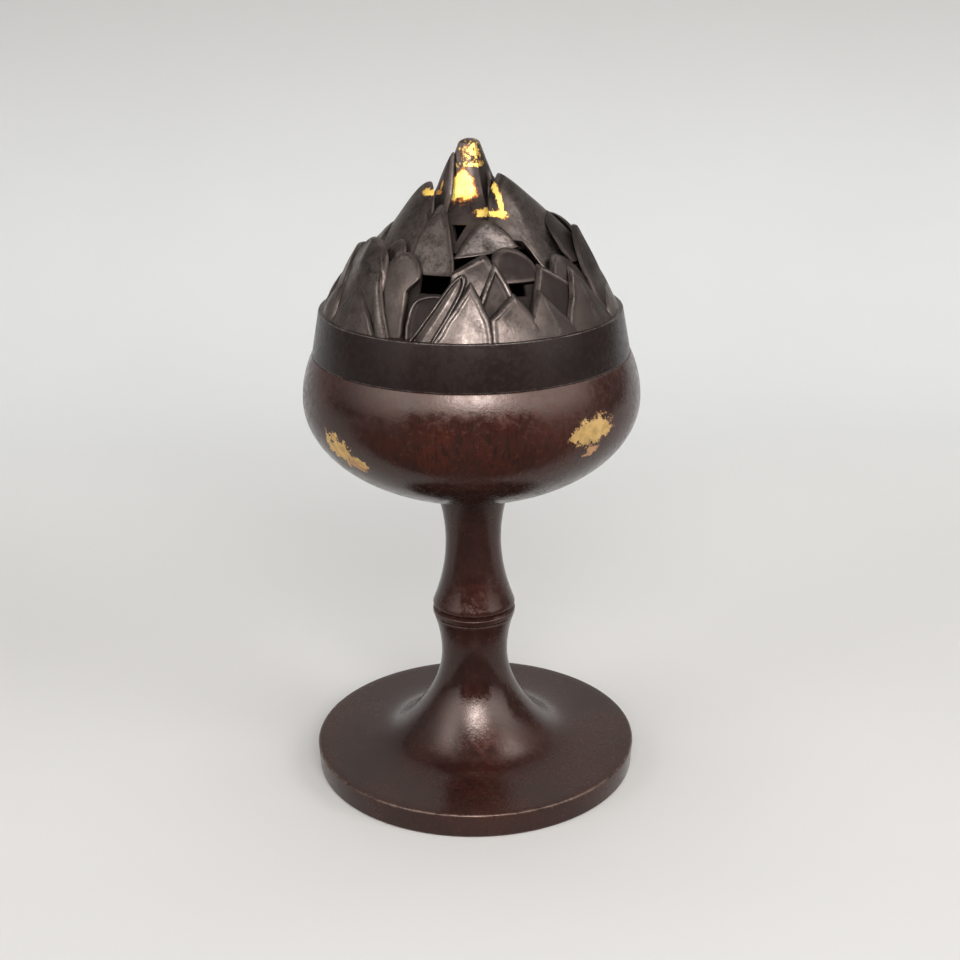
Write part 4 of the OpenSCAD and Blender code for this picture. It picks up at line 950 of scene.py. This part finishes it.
# Glow: part of a sphere round the front, seen in reflections only; each lobe fades by a bell curve of azimuth and
# elevation, and the band between them ends at the sides by a steeper one
def glowDome():
    g = glowForm
    az = np.radians(np.linspace(-g["half"], g["half"], g["cols"]))[None, :]
    el = np.radians(np.linspace(g["low"], g["high"], g["rows"]))[:, None]
    ball = g["radius"] * np.stack([np.cos(el) * np.sin(az), -np.cos(el) * np.cos(az), np.sin(el) + 0 * az], -1)
    ball[..., 2] += g["centreZ"]
    k = np.arange(g["rows"] - 1)[:, None] * g["cols"] + np.arange(g["cols"] - 1)[None, :]
    quads = np.stack([k, k + 1, k + g["cols"] + 1, k + g["cols"]], -1).reshape(-1, 4)
    material, tree, shader = newMaterial("glowDome")
    tree.nodes.remove(shader)
    add, sub, mul, div, power = sums(tree, "ADD", "SUBTRACT", "MULTIPLY", "DIVIDE", "POWER")
    part = splitXyz(tree, objectCoords(tree))
    around = calc(tree, "ARCTAN2", part["X"], mul(part["Y"], -1.0))
    up = calc(tree, "ARCSINE", div(sub(part["Z"], g["centreZ"]), g["radius"]))
    bell = lambda x, mid, wide: power(div(sub(x, math.radians(mid)), math.radians(wide)), 2.0)
    fade = lambda x: calc(tree, "EXPONENT", mul(x, -1.0))
    az0, el0, azSpan, elSpan, strength = g["band"]
    band = fade(add(power(bell(around, az0, azSpan), 2.0), bell(up, el0, elSpan)))
    light = calc(tree, "MULTIPLY_ADD", band, strength, g["rest"])
    for az0, el0, azSpan, elSpan, strength in g["lobes"]:
        lobe = fade(add(bell(around, az0, azSpan), bell(up, el0, elSpan)))
        light = calc(tree, "MULTIPLY_ADD", lobe, strength, light)
    glow = addNode(tree, "ShaderNodeEmission", None, {"Color": g["tone"], "Strength": light})
    linkAll(tree, tree.nodes["Material Output"], {"Surface": glow.outputs[0]})
    mirrorOnly("glowDome", ball.reshape(-1, 3).tolist(), quads.tolist(), material)


glowDome()
lampAim = Vector((0, 0, 0.1))


# Softbox: a rectangle of light aimed at the bowl; the dome stands for it in reflections unless it is mirrored
def softbox(name, at, wide, high, power, tone=(1, 1, 1), mirrored=False):
    light = bpy.data.lights.new(name, "AREA")
    light.shape, light.size, light.size_y = "RECTANGLE", wide, high
    light.energy, light.color = power, tone
    lamp = addObject(name, light)
    lamp.location = at
    lamp.rotation_euler = (lampAim - Vector(at)).to_track_quat("-Z", "Y").to_euler()
    lamp.visible_glossy = mirrored


softbox("keyBox", (0.14, -1.1, 0.80), 1.0, 0.55, 10.0, (1.0, 0.985, 0.97))
softbox("rightBox", (0.95, -0.55, 0.72), 0.60, 0.45, 4.0)
softbox("leftBox", (-0.95, -0.55, 0.72), 0.60, 0.45, 2.0)
softbox("topBox", (0.0, 0.10, 1.7), 1.8, 1.4, 11.0, mirrored=True)
world = bpy.data.worlds.new("paleRoom")
bpy.context.scene.world = world
world.use_nodes = True
roomTree = world.node_tree
room = roomTree.nodes["Background"]
seenRoom = addNode(roomTree, "ShaderNodeLightPath").outputs["Is Camera Ray"]
linkAll(roomTree, room, {"Color": blendColor(roomTree, seenRoom, stageForm["room"], stageForm["far"])})
room.inputs["Strength"].default_value = 1.0

cameraForm = {"at": (0.0, -0.43525, 0.24997), "pitch": 20.04, "yaw": 0.005, "roll": -0.55, "focalPx": 1569.4,
              "framePx": 960, "sensor": 36.0, "near": 0.01}


# Camera: forward, right and up from pitch and yaw, then turned by the roll
def makeCamera():
    c = cameraForm
    p, y, r = math.radians(c["pitch"]), c["yaw"], math.radians(c["roll"])
    cy, sy, cp, sp = math.cos(y), math.sin(y), math.cos(p), math.sin(p)
    forward = np.array([sy * cp, cy * cp, -sp])
    right = np.array([cy, -sy, 0.0])
    up = np.array([sy * sp, cy * sp, cp])
    rightR = math.cos(r) * right + math.sin(r) * up
    upR = -math.sin(r) * right + math.cos(r) * up
    data = bpy.data.cameras.new("photoCamera")
    data.sensor_width = c["sensor"]
    data.lens = c["sensor"] * c["focalPx"] / c["framePx"]
    data.clip_start = c["near"]
    camera = addObject("photoCamera", data)
    m = np.eye(4)
    m[:3, 0], m[:3, 1], m[:3, 2], m[:3, 3] = rightR, upR, -forward, c["at"]
    camera.matrix_world = Matrix(m.tolist())
    bpy.context.scene.camera = camera


makeCamera()
bpy.context.scene.view_settings.view_transform = "Standard"
print("stage, lights and camera set")
